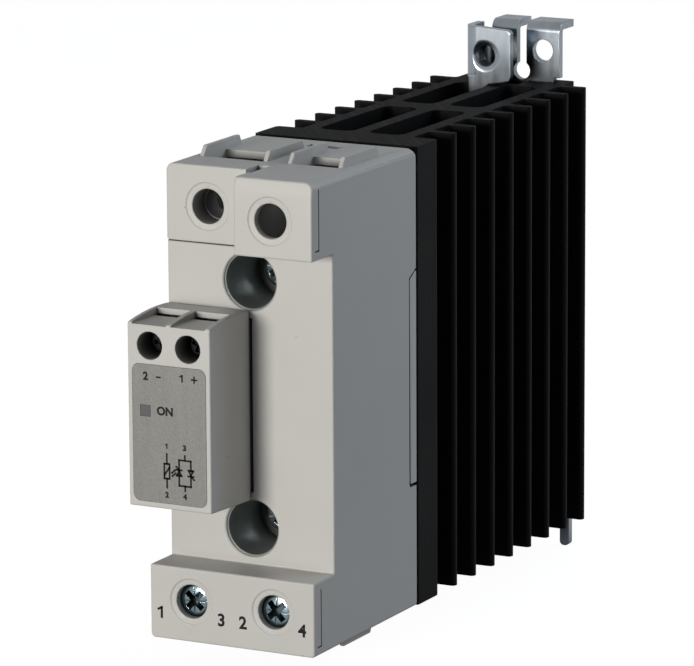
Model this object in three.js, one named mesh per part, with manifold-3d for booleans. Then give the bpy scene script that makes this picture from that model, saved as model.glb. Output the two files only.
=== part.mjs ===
// Solid state relay with a finned heatsink, two modules wide, for a 35 mm mounting rail.
// Millimetres. +X is the relay's right seen from the front, +Y runs back to the rail, +Z is up.
// Pieces are drawn with y counted from the main front face and z from the base.
// The last group moves the origin to the middle of the rail seat.
import * as THREE from 'three';
import { mergeVertices } from 'three/addons/utils/BufferGeometryUtils.js';
import Module from 'manifold-3d';

const wasm = await Module();
wasm.setup();

// Clearances and overruns
const gap = {
  seat: 0.3, // between pieces that rest on each other
  running: 0.3, // round a piece that moves or turns
  bond: 0.15, // under a label, a pad or a soldered piece
};
const overrun = 1; // how far a cut runs past the surface that it opens
const weldDistance = 1e-5; // corners closer than this are one

// Facets on round forms
const facets = { bore: 24, screw: 16, pin: 8, corner: 3, crown: 6, fin: 2, bend: 3 };

// Moulded housing
const housing = {
  width: 35,
  height: 90,
  depth: 34.4,
  wall: 1.8,
  frontCorner: 1.6,
  rearCorner: 2.2,
  upperProud: 0.4, // upper left front stands this far out of the main face
  partition: 1.4,
  partitionReach: 22,
};

// Latch notches in the housing's side walls and snap windows in its ends
const notch = { depth: 2.3, lengthShare: 0.467, slope: 1.2 };
const snap = { width: 7, length: 2.7, offset: 1.5, fromRear: 5.7, catchHeight: 1.2 };

// Terminal blocks at the housing's two ends
const terminal = {
  projection: 8.2,
  lowerHeight: 14.3,
  upperHeight: 14.8,
  upperEdge: 1.2,
  leanHeight: 2.6, // top of the upper right front leans back from this far below its edge
  leanDepth: 0.5,
  screwFromEnd: 7.8,
  boreDiameter: 6.8,
  ringDiameter: 8.8,
  ringDepth: 0.35,
  bossWall: 1.5,
  shoulder: 1.2,
  headDepth: 1.7,
  sleeveLength: 5,
  sleeveLedge: 0.4,
  sleeveTail: 4,
};

// Fine grooves down the sides of the blocks, and the slot between the upper blocks
const groove = { width: 0.35, depth: 0.4, fromFront: 2.6, endMargin: 1.6, footLength: 1.3 };
const dividerSlot = { width: 1.9, length: 7.4, start: 5.2, depth: 1.1 };

// Wire pockets and guide ribs on the top face
const pocket = {
  start: 8.3,
  length: 8.7,
  ribThickness: 0.85,
  ribHeight: 1.75,
  ribLength: 15.2,
  ribLeadIn: 1.45,
  ribRunOut: 1,
  leftOuter: 3, // rib positions, counted in from the housing's sides
  rightOuter: 2.65,
  leftInner: 0.95,
  rightInner: 4.25,
};

// Access holes to the two screws that hold the relay to its heatsink
const access = { diameter: 11.2, wall: 1.1, depth: 13.6, overlap: 1.5 };

// Power clamps, screws and bars
const powerClamp = { sideRoom: 1.5, threadWall: 2.5, floor: 1.8, side: 1.7, travel: 4, wireSpace: 6.2 };
const powerScrew = { threadDiameter: 5, headHeight: 2.3, slotWidth: 1.1, slotDepth: 1.2, crown: 0.4 };
const powerBar = { thickness: 1.5, insideRadius: 0.6, risePlane: 6, footShare: 0.42 };

// Control block on the front, with its own clamps
const control = {
  widthShare: 0.5, // of the housing's width
  depth: 15.6,
  aboveHole: 0.5, // room left to the lower access hole, and below to the upper one
  belowHole: 0.6,
  bottomDrop: 0.7,
  crownPull: 1.7,
  rearRise: 0.6,
  wall: 1.5,
  frontWall: 2,
  ribThickness: 1,
  rampDrop: 0.1,
  screwFromTop: 4.25,
  holeDiameter: 5.2,
  pitchShare: 0.463, // of the block's width
  slotStart: 6.8,
  slotLength: 2.8,
  slotWall: 1.4,
  tailMargin: 1.1,
  tailLength: 2.4,
  sideGap: 1,
  headDepth: 4.4,
  bossWall: 1,
  shoulder: 0.7,
};
const controlClamp = {
  spacing: 2.3, height: 4.6, threadWall: 1.2, floor: 1.2, side: 0.9, travel: 1.6, wireSpace: 2.6,
};
const controlScrew = { threadDiameter: 3, headHeight: 1.3, slotWidth: 0.8, slotDepth: 0.7, crown: 0.2 };
const contact = { thickness: 0.8, tailDrop: 6, lugHeight: 2.5 };

// Label and status window on the control block
const label = { fromSide: 1.05, fromBottom: 1.2, fromTop: 7.9, thickness: 0.25, corner: 1.4, recess: 0.3 };
const statusWindow = { size: 1.9, fromLeft: 3.7, heightShare: 0.526, length: 2.6 };
const led = { diameter: 3, length: 3.6, noseShares: [0.6, 0.2, 0.8], flange: 0.5, leg: 0.5, legSpacing: 2 };

// Electronics
const board = {
  thickness: 1.6, fromBottom: 3.6, fromTop: 10, rearFromTop: 2.4, fromFront: 4.2, fromFrame: 7,
};
const optocoupler = { width: 6.4, height: 8.8, thickness: 3.4, toVaristor: 0.7 };
const varistor = { diameter: 7.5, thickness: 4.2, fromRear: 2 };
const frame = { thickness: 3.4, windowMargin: 0.5 };
const substrate = { fromWall: 4.2, fromBoss: 2.4, thickness: 1 };
const pad = { thickness: 0.4 };
const chip = { fromEdge: 0.25, heightShare: 0.17, thickness: 0.6, middleShares: [0.56, 0.78] };
const gatePin = { diameter: 1 };

// Screws that hold the relay to the heatsink
const mountScrew = {
  threadDiameter: 4,
  headDiameter: 6.4,
  headHeight: 1.9,
  slotWidth: 1.1,
  slotDepth: 1,
  crown: 0.5,
};

// Extruded heatsink
const heatsink = {
  baseDepth: 9.2,
  baseCorner: 1,
  finCount: 8,
  finThickness: 1.8,
  finRearMargin: 5.8,
  finTip: 0.6,
  finRoot: 0.9,
  spineWidth: 24,
  webThickness: 2.9,
  centreWeb: 3,
  firstWall: 0.7,
  frontChamber: 29.4,
  crossWall: 5.6,
  rearChamber: 27,
  chamberCorner: 2.2,
  rearWall: 7.1,
  lipThickness: 1.5,
  lipReach: 2.2,
  springGrooveWidth: 6.4,
  springGrooveDepth: 4.8,
  screwHoleDepth: 8.2,
};

// Sheet steel: upper bracket and sliding rail latch
const sheet = { thickness: 1.5, insideRadius: 0.5, lap: 0.8 };
const rail = { height: 35, lipThickness: 1, hookGrip: 1.6, hookRoom: 0.7 };
const bracket = {
  shoulderRise: 0.9, // plate widens this far above the heatsink
  rightEdge: 10.1,
  leftEdge: 7.4,
  top: 12.2, // flange top above the heatsink
  flangeLength: 6,
  slotCentre: 1.6,
  slotWidth: 2.1,
  keyDiameter: 4,
  keyRise: 2,
  screwHole: 4.5,
  screwHoleRise: 6.4,
  fingerGap: 0.75,
  fingerNotch: 5,
  sideRear: 4,
  earthWidth: 10.8,
  earthTop: 11.9,
  earthCorner: 1.2,
  earthHole: 4.2,
  earthHoleRise: 6,
  earthHoleFromSide: 5,
  earthCollar: 1.1,
  earthCollarLength: 1.6,
  earthMouth: 0.6,
  legWidth: 3.2,
  legLength: 11,
  legFromSide: 1.4,
};
const latch = {
  overhang: 0.6, barHeight: 2.4, earWidth: 2.1, earDrop: 7, earRoundShare: 0.42, springTab: 1.5,
};
const spring = { wire: 0.7, diameter: 4, endShare: 0.8, turns: 9, segmentsPerTurn: 8, wireSides: 5 };
const springSeat = { height: 3, rise: 3 };

// Materials
function finish(color, roughness, metalness = 0) {
  return () => new THREE.MeshStandardMaterial({ color, roughness, metalness });
}
const lightPlastic = finish(0xc6c4bd, 0.5);
const darkPlastic = finish(0x6e7273, 0.55);
const blackAnodised = finish(0x1c1c1d, 0.45, 0.6);
const zincPlate = finish(0xaab4bb, 0.35, 1);
const zincScrew = finish(0x9fb0b8, 0.3, 1);
const blackSteel = finish(0x2a2b2d, 0.45, 0.9);
const copper = finish(0xb4886a, 0.3, 1);
const labelFoil = finish(0x9d9f9d, 0.45, 0.4);
const windowGrey = finish(0x5c5e60, 0.3);
const boardGreen = finish(0x2f5a3c, 0.5);
const blackEpoxy = finish(0x202124, 0.4);
const varistorBlue = finish(0x2d4f86, 0.4);
const ceramicWhite = finish(0xe4e2da, 0.5);
const padGrey = finish(0x8a8d90, 0.8);
const silicon = finish(0x4a4d55, 0.2, 0.5);
const ledGreen = finish(0xa9c7a0, 0.25);
const springSteel = finish(0x8d9194, 0.3, 1);

// Solids from three.js geometry
function solidOf(geometry) {
  const bare = geometry.index ? geometry.toNonIndexed() : geometry;
  bare.deleteAttribute('normal');
  bare.deleteAttribute('uv');
  const merged = mergeVertices(bare, weldDistance);
  return new wasm.Manifold(new wasm.Mesh({
    numProp: 3,
    vertProperties: new Float32Array(merged.attributes.position.array),
    triVerts: new Uint32Array(merged.index.array),
  }));
}

function geometryOf(solid) {
  const mesh = solid.getMesh();
  const geometry = new THREE.BufferGeometry();
  geometry.setAttribute('position', new THREE.BufferAttribute(mesh.vertProperties, 3));
  geometry.setIndex(new THREE.BufferAttribute(mesh.triVerts, 1));
  geometry.computeVertexNormals();
  return geometry;
}

function join(...solids) {
  return solids.reduce((all, next) => all.add(next));
}

function carve(solid, ...cuts) {
  return cuts.reduce((left, next) => left.subtract(next), solid);
}

function block([x0, x1], [y0, y1], [z0, z1]) {
  const geometry = new THREE.BoxGeometry(x1 - x0, y1 - y0, z1 - z0);
  geometry.translate((x0 + x1) / 2, (y0 + y1) / 2, (z0 + z1) / 2);
  return solidOf(geometry);
}

// A shape drawn in (y, z), (x, z) or (x, y) and extruded along the axis left over
const drawnPlane = {
  x: [new THREE.Vector3(0, 1, 0), new THREE.Vector3(0, 0, 1), new THREE.Vector3(1, 0, 0)],
  y: [new THREE.Vector3(1, 0, 0), new THREE.Vector3(0, 0, 1), new THREE.Vector3(0, -1, 0)],
  z: [new THREE.Vector3(1, 0, 0), new THREE.Vector3(0, 1, 0), new THREE.Vector3(0, 0, 1)],
};

function prism(shape, axis, [from, to], curveSegments = facets.corner) {
  const geometry = new THREE.ExtrudeGeometry(shape, {
    depth: to - from, bevelEnabled: false, curveSegments,
  });
  geometry.translate(0, 0, axis === 'y' ? -to : from);
  geometry.applyMatrix4(new THREE.Matrix4().makeBasis(...drawnPlane[axis]));
  return solidOf(geometry);
}

// A round bar along y, centred on (x, z)
function roundBar(diameter, [y0, y1], x, z, sides = facets.bore) {
  const geometry = new THREE.CylinderGeometry(diameter / 2, diameter / 2, y1 - y0, sides);
  geometry.translate(x, (y0 + y1) / 2, z);
  return solidOf(geometry);
}

// An outline of [radius, y] pairs turned about the y axis at (x, z)
function turned(outline, x, z, sides = facets.screw) {
  const points = outline.map(([radius, y]) => new THREE.Vector2(radius, y));
  const area = points.reduce((sum, p, i) => {
    const q = points[(i + 1) % points.length];
    return sum + p.x * q.y - q.x * p.y;
  }, 0);
  if (area < 0) points.reverse();
  const geometry = new THREE.LatheGeometry(points, sides);
  geometry.translate(x, 0, z);
  return solidOf(geometry);
}

function roundedRectangle([u0, u1], [v0, v1], radius) {
  const shape = new THREE.Shape();
  shape.moveTo(u0 + radius, v0);
  shape.lineTo(u1 - radius, v0);
  shape.absarc(u1 - radius, v0 + radius, radius, -Math.PI / 2, 0);
  shape.lineTo(u1, v1 - radius);
  shape.absarc(u1 - radius, v1 - radius, radius, 0, Math.PI / 2);
  shape.lineTo(u0 + radius, v1);
  shape.absarc(u0 + radius, v1 - radius, radius, Math.PI / 2, Math.PI);
  shape.lineTo(u0, v0 + radius);
  shape.absarc(u0 + radius, v0 + radius, radius, Math.PI, 1.5 * Math.PI);
  return shape;
}

function polygon(points) {
  return new THREE.Shape(points.map(([u, v]) => new THREE.Vector2(u, v)));
}

// The edge view of sheet that follows a centre line and bends at each of its corners
function bentStrip(centreLine, thickness, innerRadius) {
  const line = centreLine.map(([u, v]) => new THREE.Vector2(u, v));
  const radius = innerRadius + thickness / 2;
  const left = [];
  const right = [];
  const put = (point, normal) => {
    left.push(point.clone().addScaledVector(normal, thickness / 2));
    right.push(point.clone().addScaledVector(normal, -thickness / 2));
  };
  const headings = line.slice(1).map((p, i) => p.clone().sub(line[i]).normalize());
  const normalOf = (heading) => new THREE.Vector2(-heading.y, heading.x);
  put(line[0], normalOf(headings[0]));
  for (let i = 1; i < line.length - 1; i += 1) {
    const into = headings[i - 1];
    const turn = Math.atan2(into.cross(headings[i]), into.dot(headings[i]));
    const setback = radius * Math.tan(Math.abs(turn) / 2);
    const start = line[i].clone().addScaledVector(into, -setback);
    const centre = start.clone().addScaledVector(normalOf(into), Math.sign(turn) * radius);
    for (let step = 0; step <= facets.bend; step += 1) {
      const angle = (turn * step) / facets.bend;
      const point = start.clone().rotateAround(centre, angle);
      put(point, normalOf(into).rotateAround(new THREE.Vector2(), angle));
    }
  }
  put(line[line.length - 1], normalOf(headings[headings.length - 1]));
  return new THREE.Shape([...left, ...right.reverse()]);
}

function around(middle, width) {
  return [middle - width / 2, middle + width / 2];
}

// Places that several pieces share
const halfWidth = housing.width / 2;
const terminalX = housing.width / 4;
const blockFront = -terminal.projection;
const inside = halfWidth - housing.wall;
const insideTop = housing.height - housing.wall;
const tubeRadius = access.diameter / 2 + access.wall;
const lowerAccessZ = terminal.lowerHeight + tubeRadius + gap.running;
const upperAccessZ = housing.height - lowerAccessZ;
const accessHeights = { lower: lowerAccessZ, upper: upperAccessZ };
const midHeight = housing.height / 2;
const notchLength = housing.height * notch.lengthShare;
const tubeEnd = access.depth + access.overlap;
const fixingHole = mountScrew.threadDiameter + 2 * gap.seat;

// Places along a power screw, from the front of its block back to the clamp's stop
const power = {};
power.z = terminal.screwFromEnd;
power.headFront = blockFront + terminal.headDepth;
power.headBack = power.headFront + powerScrew.headHeight;
power.shoulderFront = power.headBack + gap.running;
power.shoulderBack = power.shoulderFront + terminal.shoulder;
power.clampFront = power.shoulderBack + gap.running + powerClamp.travel;
power.clampInner = power.clampFront + powerClamp.threadWall;
power.barFront = power.clampInner + gap.running;
power.barBack = power.barFront + powerBar.thickness;
power.wireBack = power.barBack + powerClamp.wireSpace;
power.clampBack = power.wireBack + powerClamp.floor;
power.clampZ = [housing.wall + gap.running * 2, terminal.lowerHeight - housing.wall - gap.running];
power.clampWidth = halfWidth - housing.wall - housing.partition / 2 - 2 * powerClamp.sideRoom;
power.innerWidth = power.clampWidth - 2 * powerClamp.side;
power.barWidth = power.innerWidth - 2 * gap.running;

// Places along a control screw
const controlAt = {};
controlAt.front = -control.depth;
controlAt.back = -gap.seat;
controlAt.right = 0;
controlAt.width = housing.width * control.widthShare;
controlAt.left = controlAt.right - controlAt.width;
controlAt.middle = controlAt.right - controlAt.width / 2;
controlAt.bottom = lowerAccessZ + access.diameter / 2 + control.aboveHole;
controlAt.frontTop = upperAccessZ - access.diameter / 2 - control.belowHole;
controlAt.pitch = controlAt.width * control.pitchShare;
controlAt.clampWidth = controlAt.pitch - controlClamp.spacing;
controlAt.z = controlAt.frontTop - control.screwFromTop;
controlAt.headFront = controlAt.front + control.headDepth;
controlAt.headBack = controlAt.headFront + controlScrew.headHeight;
controlAt.shoulderFront = controlAt.headBack + gap.running;
controlAt.shoulderBack = controlAt.shoulderFront + control.shoulder;
controlAt.clampFront = controlAt.shoulderBack + gap.running + controlClamp.travel;
controlAt.clampInner = controlAt.clampFront + controlClamp.threadWall;
controlAt.barFront = controlAt.clampInner + gap.running;
controlAt.barBack = controlAt.barFront + contact.thickness;
controlAt.wireBack = controlAt.barBack + controlClamp.wireSpace;
controlAt.clampBack = controlAt.wireBack + controlClamp.floor;
controlAt.clampZ = around(controlAt.z - gap.running, controlClamp.height);
const controlX = [-1, 1].map((side) => controlAt.middle + (side * controlAt.pitch) / 2);

// Tail of the control block, and the opening that it goes into
const tail = {
  x: [controlAt.left + control.tailMargin, controlAt.right - gap.seat],
  z: [controlAt.bottom + control.tailMargin, controlAt.frontTop - control.tailMargin],
};
const socket = {
  x: [tail.x[0] - gap.seat, tail.x[1] + control.sideGap],
  z: [tail.z[0] - gap.seat, tail.z[1] + gap.seat],
};

// The substrate lies between the frame's two bosses and the housing's side walls
const bossRadius = access.diameter / 2 - gap.seat;
const substrateAt = {
  half: inside - substrate.fromWall,
  bottom: lowerAccessZ + bossRadius + substrate.fromBoss,
  top: upperAccessZ - bossRadius - substrate.fromBoss,
};
substrateAt.height = substrateAt.top - substrateAt.bottom;
substrateAt.x = [-substrateAt.half, substrateAt.half];
substrateAt.z = [substrateAt.bottom, substrateAt.top];

// Stack of flat pieces between the heatsink's front and the chips
const stack = {};
stack.heatsink = housing.depth + gap.seat;
stack.frameBack = stack.heatsink - gap.seat;
stack.frameFront = stack.frameBack - frame.thickness;
stack.padBack = stack.heatsink - gap.bond;
stack.padFront = stack.padBack - pad.thickness;
stack.substrateBack = stack.padFront - gap.bond;
stack.substrateFront = stack.substrateBack - substrate.thickness;
stack.chipBack = stack.substrateFront - gap.bond;
stack.chipFront = stack.chipBack - chip.thickness;

// Depths of the heatsink, front to back
const spine = {};
spine.baseRear = stack.heatsink + heatsink.baseDepth;
spine.frontChamber = [spine.baseRear + heatsink.firstWall];
spine.frontChamber[1] = spine.frontChamber[0] + heatsink.frontChamber;
spine.rearChamber = [spine.frontChamber[1] + heatsink.crossWall];
spine.rearChamber[1] = spine.rearChamber[0] + heatsink.rearChamber;
spine.slotFloor = spine.rearChamber[1] + heatsink.rearWall;
spine.plateFront = spine.slotFloor + gap.running;
spine.plateBack = spine.plateFront + sheet.thickness;
spine.lipFront = spine.plateBack + gap.running;
spine.railSeat = spine.lipFront + heatsink.lipThickness;
spine.slotHalf = heatsink.spineWidth / 2 - heatsink.webThickness;
spine.springMiddle = spine.slotFloor - heatsink.springGrooveDepth / 2;

// Side outlines of the housing in (y, z), left and right of the step at the top
function housingSide(front, top, lean) {
  const shape = new THREE.Shape();
  const rear = housing.depth;
  const corner = housing.rearCorner;
  shape.moveTo(blockFront, 0);
  shape.lineTo(rear - corner, 0);
  shape.absarc(rear - corner, corner, corner, -Math.PI / 2, 0);
  shape.lineTo(rear, housing.height - corner);
  shape.absarc(rear - corner, housing.height - corner, corner, 0, Math.PI / 2);
  shape.lineTo(front + lean, housing.height);
  shape.lineTo(front, housing.height - terminal.leanHeight);
  shape.lineTo(front, top);
  shape.lineTo(0, top);
  shape.lineTo(0, terminal.lowerHeight);
  shape.lineTo(blockFront, terminal.lowerHeight);
  return shape;
}

function housingOuter() {
  const stepZ = housing.height - terminal.upperHeight;
  const whole = prism(housingSide(-housing.upperProud, stepZ, 0), 'x', [-halfWidth, halfWidth]);
  const rightSide = housingSide(blockFront, stepZ, terminal.leanDepth);
  const right = prism(rightSide, 'x', [terminal.upperEdge, halfWidth]);
  const faceOn = roundedRectangle([-halfWidth, halfWidth], [0, housing.height], housing.frontCorner);
  const envelope = prism(faceOn, 'y', [blockFront, housing.depth]);
  return join(whole, right).intersect(envelope);
}

function housingHollow() {
  const rear = housing.depth + overrun;
  const upperFloor = housing.height - terminal.upperHeight + housing.wall;
  const frontWall = blockFront + housing.wall;
  const hollows = [block([-inside, inside], [housing.wall, rear], [housing.wall, insideTop])];
  for (const side of [-1, 1]) {
    const chamber = around(side * terminalX, power.clampWidth + 2 * gap.running);
    const chamberZ = [power.clampZ[0] - gap.running, power.clampZ[1] + gap.running];
    hollows.push(block(chamber, [frontWall, housing.wall + overrun], chamberZ));
  }
  const upperX = [terminal.upperEdge + housing.wall, inside];
  hollows.push(block(upperX, [frontWall, housing.wall + overrun], [upperFloor, insideTop]));
  return join(...hollows);
}

// Bosses, screw tubes and partitions inside the housing
function housingInnerWalls() {
  const walls = [];
  const bossDiameter = terminal.boreDiameter + 2 * terminal.bossWall;
  const bossReach = [blockFront + housing.wall / 2, power.shoulderBack];
  const upperZ = housing.height - terminal.screwFromEnd;
  for (const side of [-1, 1]) {
    walls.push(roundBar(bossDiameter, bossReach, side * terminalX, power.z));
  }
  const sleeveEnd = terminal.sleeveLength + terminal.sleeveTail;
  walls.push(roundBar(bossDiameter, [housing.wall / 2, sleeveEnd], -terminalX, upperZ));
  for (const z of Object.values(accessHeights)) {
    walls.push(roundBar(2 * tubeRadius, [housing.wall / 2, tubeEnd], 0, z));
  }
  const shelfZ = upperAccessZ + tubeRadius;
  const reach = [housing.wall / 2, housing.partitionReach];
  const wide = inside + housing.wall / 2;
  walls.push(block([-wide, wide], reach, around(shelfZ, housing.partition)));
  const dividerX = [terminal.upperEdge, terminal.upperEdge + housing.wall];
  walls.push(block(dividerX, reach, [shelfZ, insideTop + housing.wall / 2]));
  const lowerReach = [housing.wall / 2, power.clampBack];
  walls.push(block(around(0, housing.partition), lowerReach, [housing.wall / 2, power.clampZ[1]]));
  return join(...walls);
}

function wellCuts() {
  const cuts = [];
  const ring = terminal.ringDiameter;
  const bore = terminal.boreDiameter;
  const upperZ = housing.height - terminal.screwFromEnd;
  const shankHole = powerScrew.threadDiameter + 2 * gap.running;
  for (const side of [-1, 1]) {
    const x = side * terminalX;
    cuts.push(roundBar(ring, [blockFront - overrun, blockFront + terminal.ringDepth], x, power.z));
    cuts.push(roundBar(bore, [blockFront - overrun, power.shoulderFront], x, power.z));
    cuts.push(roundBar(shankHole, [power.headFront, power.shoulderBack + overrun], x, power.z));
  }
  const upperFront = -housing.upperProud;
  const ledgeY = upperFront + terminal.sleeveLength;
  const narrow = bore - 2 * terminal.sleeveLedge;
  cuts.push(roundBar(ring, [upperFront - overrun, upperFront + terminal.ringDepth], -terminalX, upperZ));
  cuts.push(roundBar(bore, [upperFront - overrun, ledgeY], -terminalX, upperZ));
  cuts.push(roundBar(narrow, [0, ledgeY + terminal.sleeveTail + overrun], -terminalX, upperZ));
  cuts.push(roundBar(ring, [blockFront - overrun, blockFront + terminal.ringDepth], terminalX, upperZ));
  cuts.push(roundBar(bore, [blockFront - overrun, blockFront + housing.wall + overrun], terminalX, upperZ));
  return cuts;
}

function accessCuts() {
  const reach = [-overrun, tubeEnd + overrun];
  return Object.values(accessHeights).map((z) => roundBar(access.diameter, reach, 0, z));
}

// Rib positions along x, each as its left side
const ribs = {
  leftOuter: -halfWidth + pocket.leftOuter - pocket.ribThickness / 2,
  leftInner: -pocket.leftInner - pocket.ribThickness / 2,
  rightInner: pocket.rightInner - pocket.ribThickness / 2,
  rightOuter: halfWidth - pocket.rightOuter - pocket.ribThickness / 2,
};

function pocketCuts() {
  const along = [pocket.start, pocket.start + pocket.length];
  const through = [insideTop - overrun, housing.height + overrun];
  const left = [ribs.leftOuter + pocket.ribThickness, ribs.leftInner];
  const right = [ribs.rightInner + pocket.ribThickness, ribs.rightOuter];
  const cuts = [block(left, along, through), block(right, along, through)];
  const entryWidth = power.innerWidth;
  for (const side of [-1, 1]) {
    const shape = roundedRectangle(
      around(side * terminalX, entryWidth), [power.barFront, power.wireBack + gap.seat], housing.frontCorner,
    );
    cuts.push(prism(shape, 'z', [-overrun, housing.wall + overrun]));
  }
  return cuts;
}

function snapWindows() {
  const rear = housing.depth - snap.fromRear;
  const along = [rear - snap.length, rear];
  const across = around(snap.offset, snap.width);
  const top = block(across, along, [insideTop - overrun, housing.height + overrun]);
  const bottom = block(across, along, [-overrun, housing.wall + overrun]);
  return [top, bottom];
}

function sideNotch(side) {
  const [bottom, top] = around(midHeight, notchLength);
  const shape = polygon([
    [housing.depth - notch.depth, bottom],
    [housing.depth + overrun, bottom],
    [housing.depth + overrun, top + notch.slope],
    [housing.depth, top + notch.slope],
    [housing.depth - notch.depth, top],
  ]);
  const span = [inside - overrun, halfWidth + overrun].map((x) => x * side).sort((a, b) => a - b);
  return prism(shape, 'x', span);
}

// A fine groove down the side of a block, with a short foot towards the front
function sideGroove(side, [z0, z1]) {
  const y = blockFront + groove.fromFront;
  const span = [halfWidth - groove.depth, halfWidth + overrun].map((x) => x * side).sort((a, b) => a - b);
  const line = block(span, [y, y + groove.width], [z0, z1]);
  const foot = block(span, [y - groove.footLength, y + groove.width], [z0, z0 + groove.width]);
  return line.add(foot);
}

function outsideLines() {
  const low = [groove.endMargin, terminal.lowerHeight - groove.endMargin];
  const high = [housing.height - terminal.upperHeight + groove.endMargin, housing.height - groove.endMargin];
  const slotX = [terminal.upperEdge - dividerSlot.width / 2, terminal.upperEdge + dividerSlot.width / 2];
  const slotY = [blockFront + dividerSlot.start, blockFront + dividerSlot.start + dividerSlot.length];
  const slotZ = [housing.height - dividerSlot.depth, housing.height + overrun];
  return [sideGroove(1, low), sideGroove(-1, low), sideGroove(1, high), block(slotX, slotY, slotZ)];
}

function topRibs() {
  const y0 = pocket.start;
  const y1 = pocket.start + pocket.ribLength;
  const outline = polygon([
    [y0, housing.height - housing.wall / 2],
    [y1, housing.height - housing.wall / 2],
    [y1, housing.height],
    [y1 - pocket.ribRunOut, housing.height + pocket.ribHeight],
    [y0 + pocket.ribLeadIn, housing.height + pocket.ribHeight],
    [y0, housing.height],
  ]);
  const solids = Object.values(ribs).map((x) => prism(outline, 'x', [x, x + pocket.ribThickness]));
  return join(...solids);
}

function housingCover() {
  const outer = housingOuter();
  const shell = outer.subtract(housingHollow()).add(housingInnerWalls().intersect(outer)).add(topRibs());
  const socketCut = block(socket.x, [-housing.upperProud - overrun, housing.wall + overrun], socket.z);
  return carve(
    shell, ...wellCuts(), ...accessCuts(), ...pocketCuts(), ...snapWindows(), ...outsideLines(),
    sideNotch(1), sideNotch(-1), socketCut,
  );
}

// Inner frame that carries the electronics and holds the housing by its catches
function baseFrame() {
  const plateX = inside - gap.seat;
  const plateZ = [housing.wall + gap.seat, insideTop - gap.seat];
  const depth = [stack.frameFront, stack.frameBack];
  const parts = [block([-plateX, plateX], depth, plateZ)];
  const lugZ = around(midHeight, notchLength - 2 * gap.seat);
  const lugX = halfWidth - gap.seat;
  parts.push(block([-lugX, lugX], [housing.depth - notch.depth + gap.seat, stack.frameBack], lugZ));
  for (const z of Object.values(accessHeights)) {
    parts.push(roundBar(2 * bossRadius, [access.depth, stack.frameBack], 0, z));
  }
  for (const side of [-1, 1]) {
    const across = around(side * terminalX, power.barWidth);
    parts.push(block(across, [power.clampBack + gap.running, stack.frameBack], power.clampZ));
  }
  parts.push(...snapArms());
  const windowX = around(0, 2 * (substrateAt.half + frame.windowMargin));
  const windowZ = [substrateAt.bottom - frame.windowMargin, substrateAt.top + frame.windowMargin];
  const window = block(windowX, [depth[0] - overrun, depth[1] + overrun], windowZ);
  const drill = [0, stack.frameBack + overrun];
  const holes = Object.values(accessHeights).map((z) => roundBar(fixingHole, drill, 0, z));
  return carve(join(...parts), window, ...holes);
}

function snapArms() {
  const rear = housing.depth - snap.fromRear;
  const across = around(snap.offset, snap.width - 2 * gap.seat);
  const arm = [rear - snap.length + gap.seat, stack.frameBack];
  const catchY = [arm[0], rear - gap.seat];
  const top = insideTop - gap.seat;
  const bottom = housing.wall + gap.seat;
  return [
    block(across, arm, [top - housing.wall, top]),
    block(across, catchY, [top - housing.wall, top + snap.catchHeight]),
    block(across, arm, [bottom, bottom + housing.wall]),
    block(across, catchY, [bottom - snap.catchHeight, bottom + housing.wall]),
  ];
}

// Power terminals
function slottedScrew(sizes, headDiameter, [headFront, tip], x, z) {
  const headBack = headFront + sizes.headHeight;
  const rim = headDiameter / 2;
  const shank = sizes.threadDiameter / 2;
  const solid = turned([
    [0, headFront], [rim - sizes.crown, headFront], [rim, headFront + sizes.crown], [rim, headBack],
    [shank, headBack], [shank, tip - sizes.crown], [shank - sizes.crown, tip], [0, tip],
  ], x, z);
  const reach = rim - sizes.crown * 2;
  const depth = [headFront - overrun, headFront + sizes.slotDepth];
  const upright = block(around(x, sizes.slotWidth), depth, [z - reach, z + reach]);
  const level = block([x - reach, x + reach], depth, around(z, sizes.slotWidth));
  return carve(solid, upright.add(level));
}

function powerScrewAt(side) {
  const headDiameter = terminal.boreDiameter - 2 * gap.running;
  const length = [power.headFront, power.barFront - gap.running];
  return slottedScrew(powerScrew, headDiameter, length, side * terminalX, power.z);
}

function powerClampAt(side) {
  const x = side * terminalX;
  const body = block(around(x, power.clampWidth), [power.clampFront, power.clampBack], power.clampZ);
  const through = [power.clampZ[0] - overrun, power.clampZ[1] + overrun];
  const space = block(around(x, power.innerWidth), [power.clampInner, power.wireBack], through);
  const hole = powerScrew.threadDiameter + 2 * gap.running;
  const drill = [power.clampFront - overrun, power.clampInner + overrun];
  return carve(body, space, roundBar(hole, drill, x, power.z));
}

// The bar rises out of its clamp, runs back over it, climbs and lands on the substrate
function powerBarAt(side) {
  const half = powerBar.thickness / 2;
  const runZ = power.clampZ[1] + gap.running + half;
  const climbY = stack.frameFront - powerBar.risePlane + half;
  const footY = stack.substrateFront - gap.bond - half;
  const footZ = substrateAt.bottom + substrateAt.height * powerBar.footShare;
  const landZ = substrateAt.bottom + frame.windowMargin + half;
  const line = [
    [power.barFront + half, power.clampZ[0] + gap.running],
    [power.barFront + half, runZ],
    [climbY, runZ],
    [climbY, landZ],
    [footY, landZ],
    [footY, footZ],
  ];
  const strip = bentStrip(line, powerBar.thickness, powerBar.insideRadius);
  const x = side * terminalX;
  const wide = prism(strip, 'x', around(x, power.barWidth));
  const footWidth = 2 * (substrateAt.half - terminalX - gap.bond);
  const narrow = prism(strip, 'x', around(x, footWidth));
  const upper = block(
    around(x, power.barWidth + overrun), [climbY - half, stack.heatsink], [runZ + half, footZ + overrun],
  );
  return wide.subtract(upper).add(narrow.intersect(upper));
}

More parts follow.
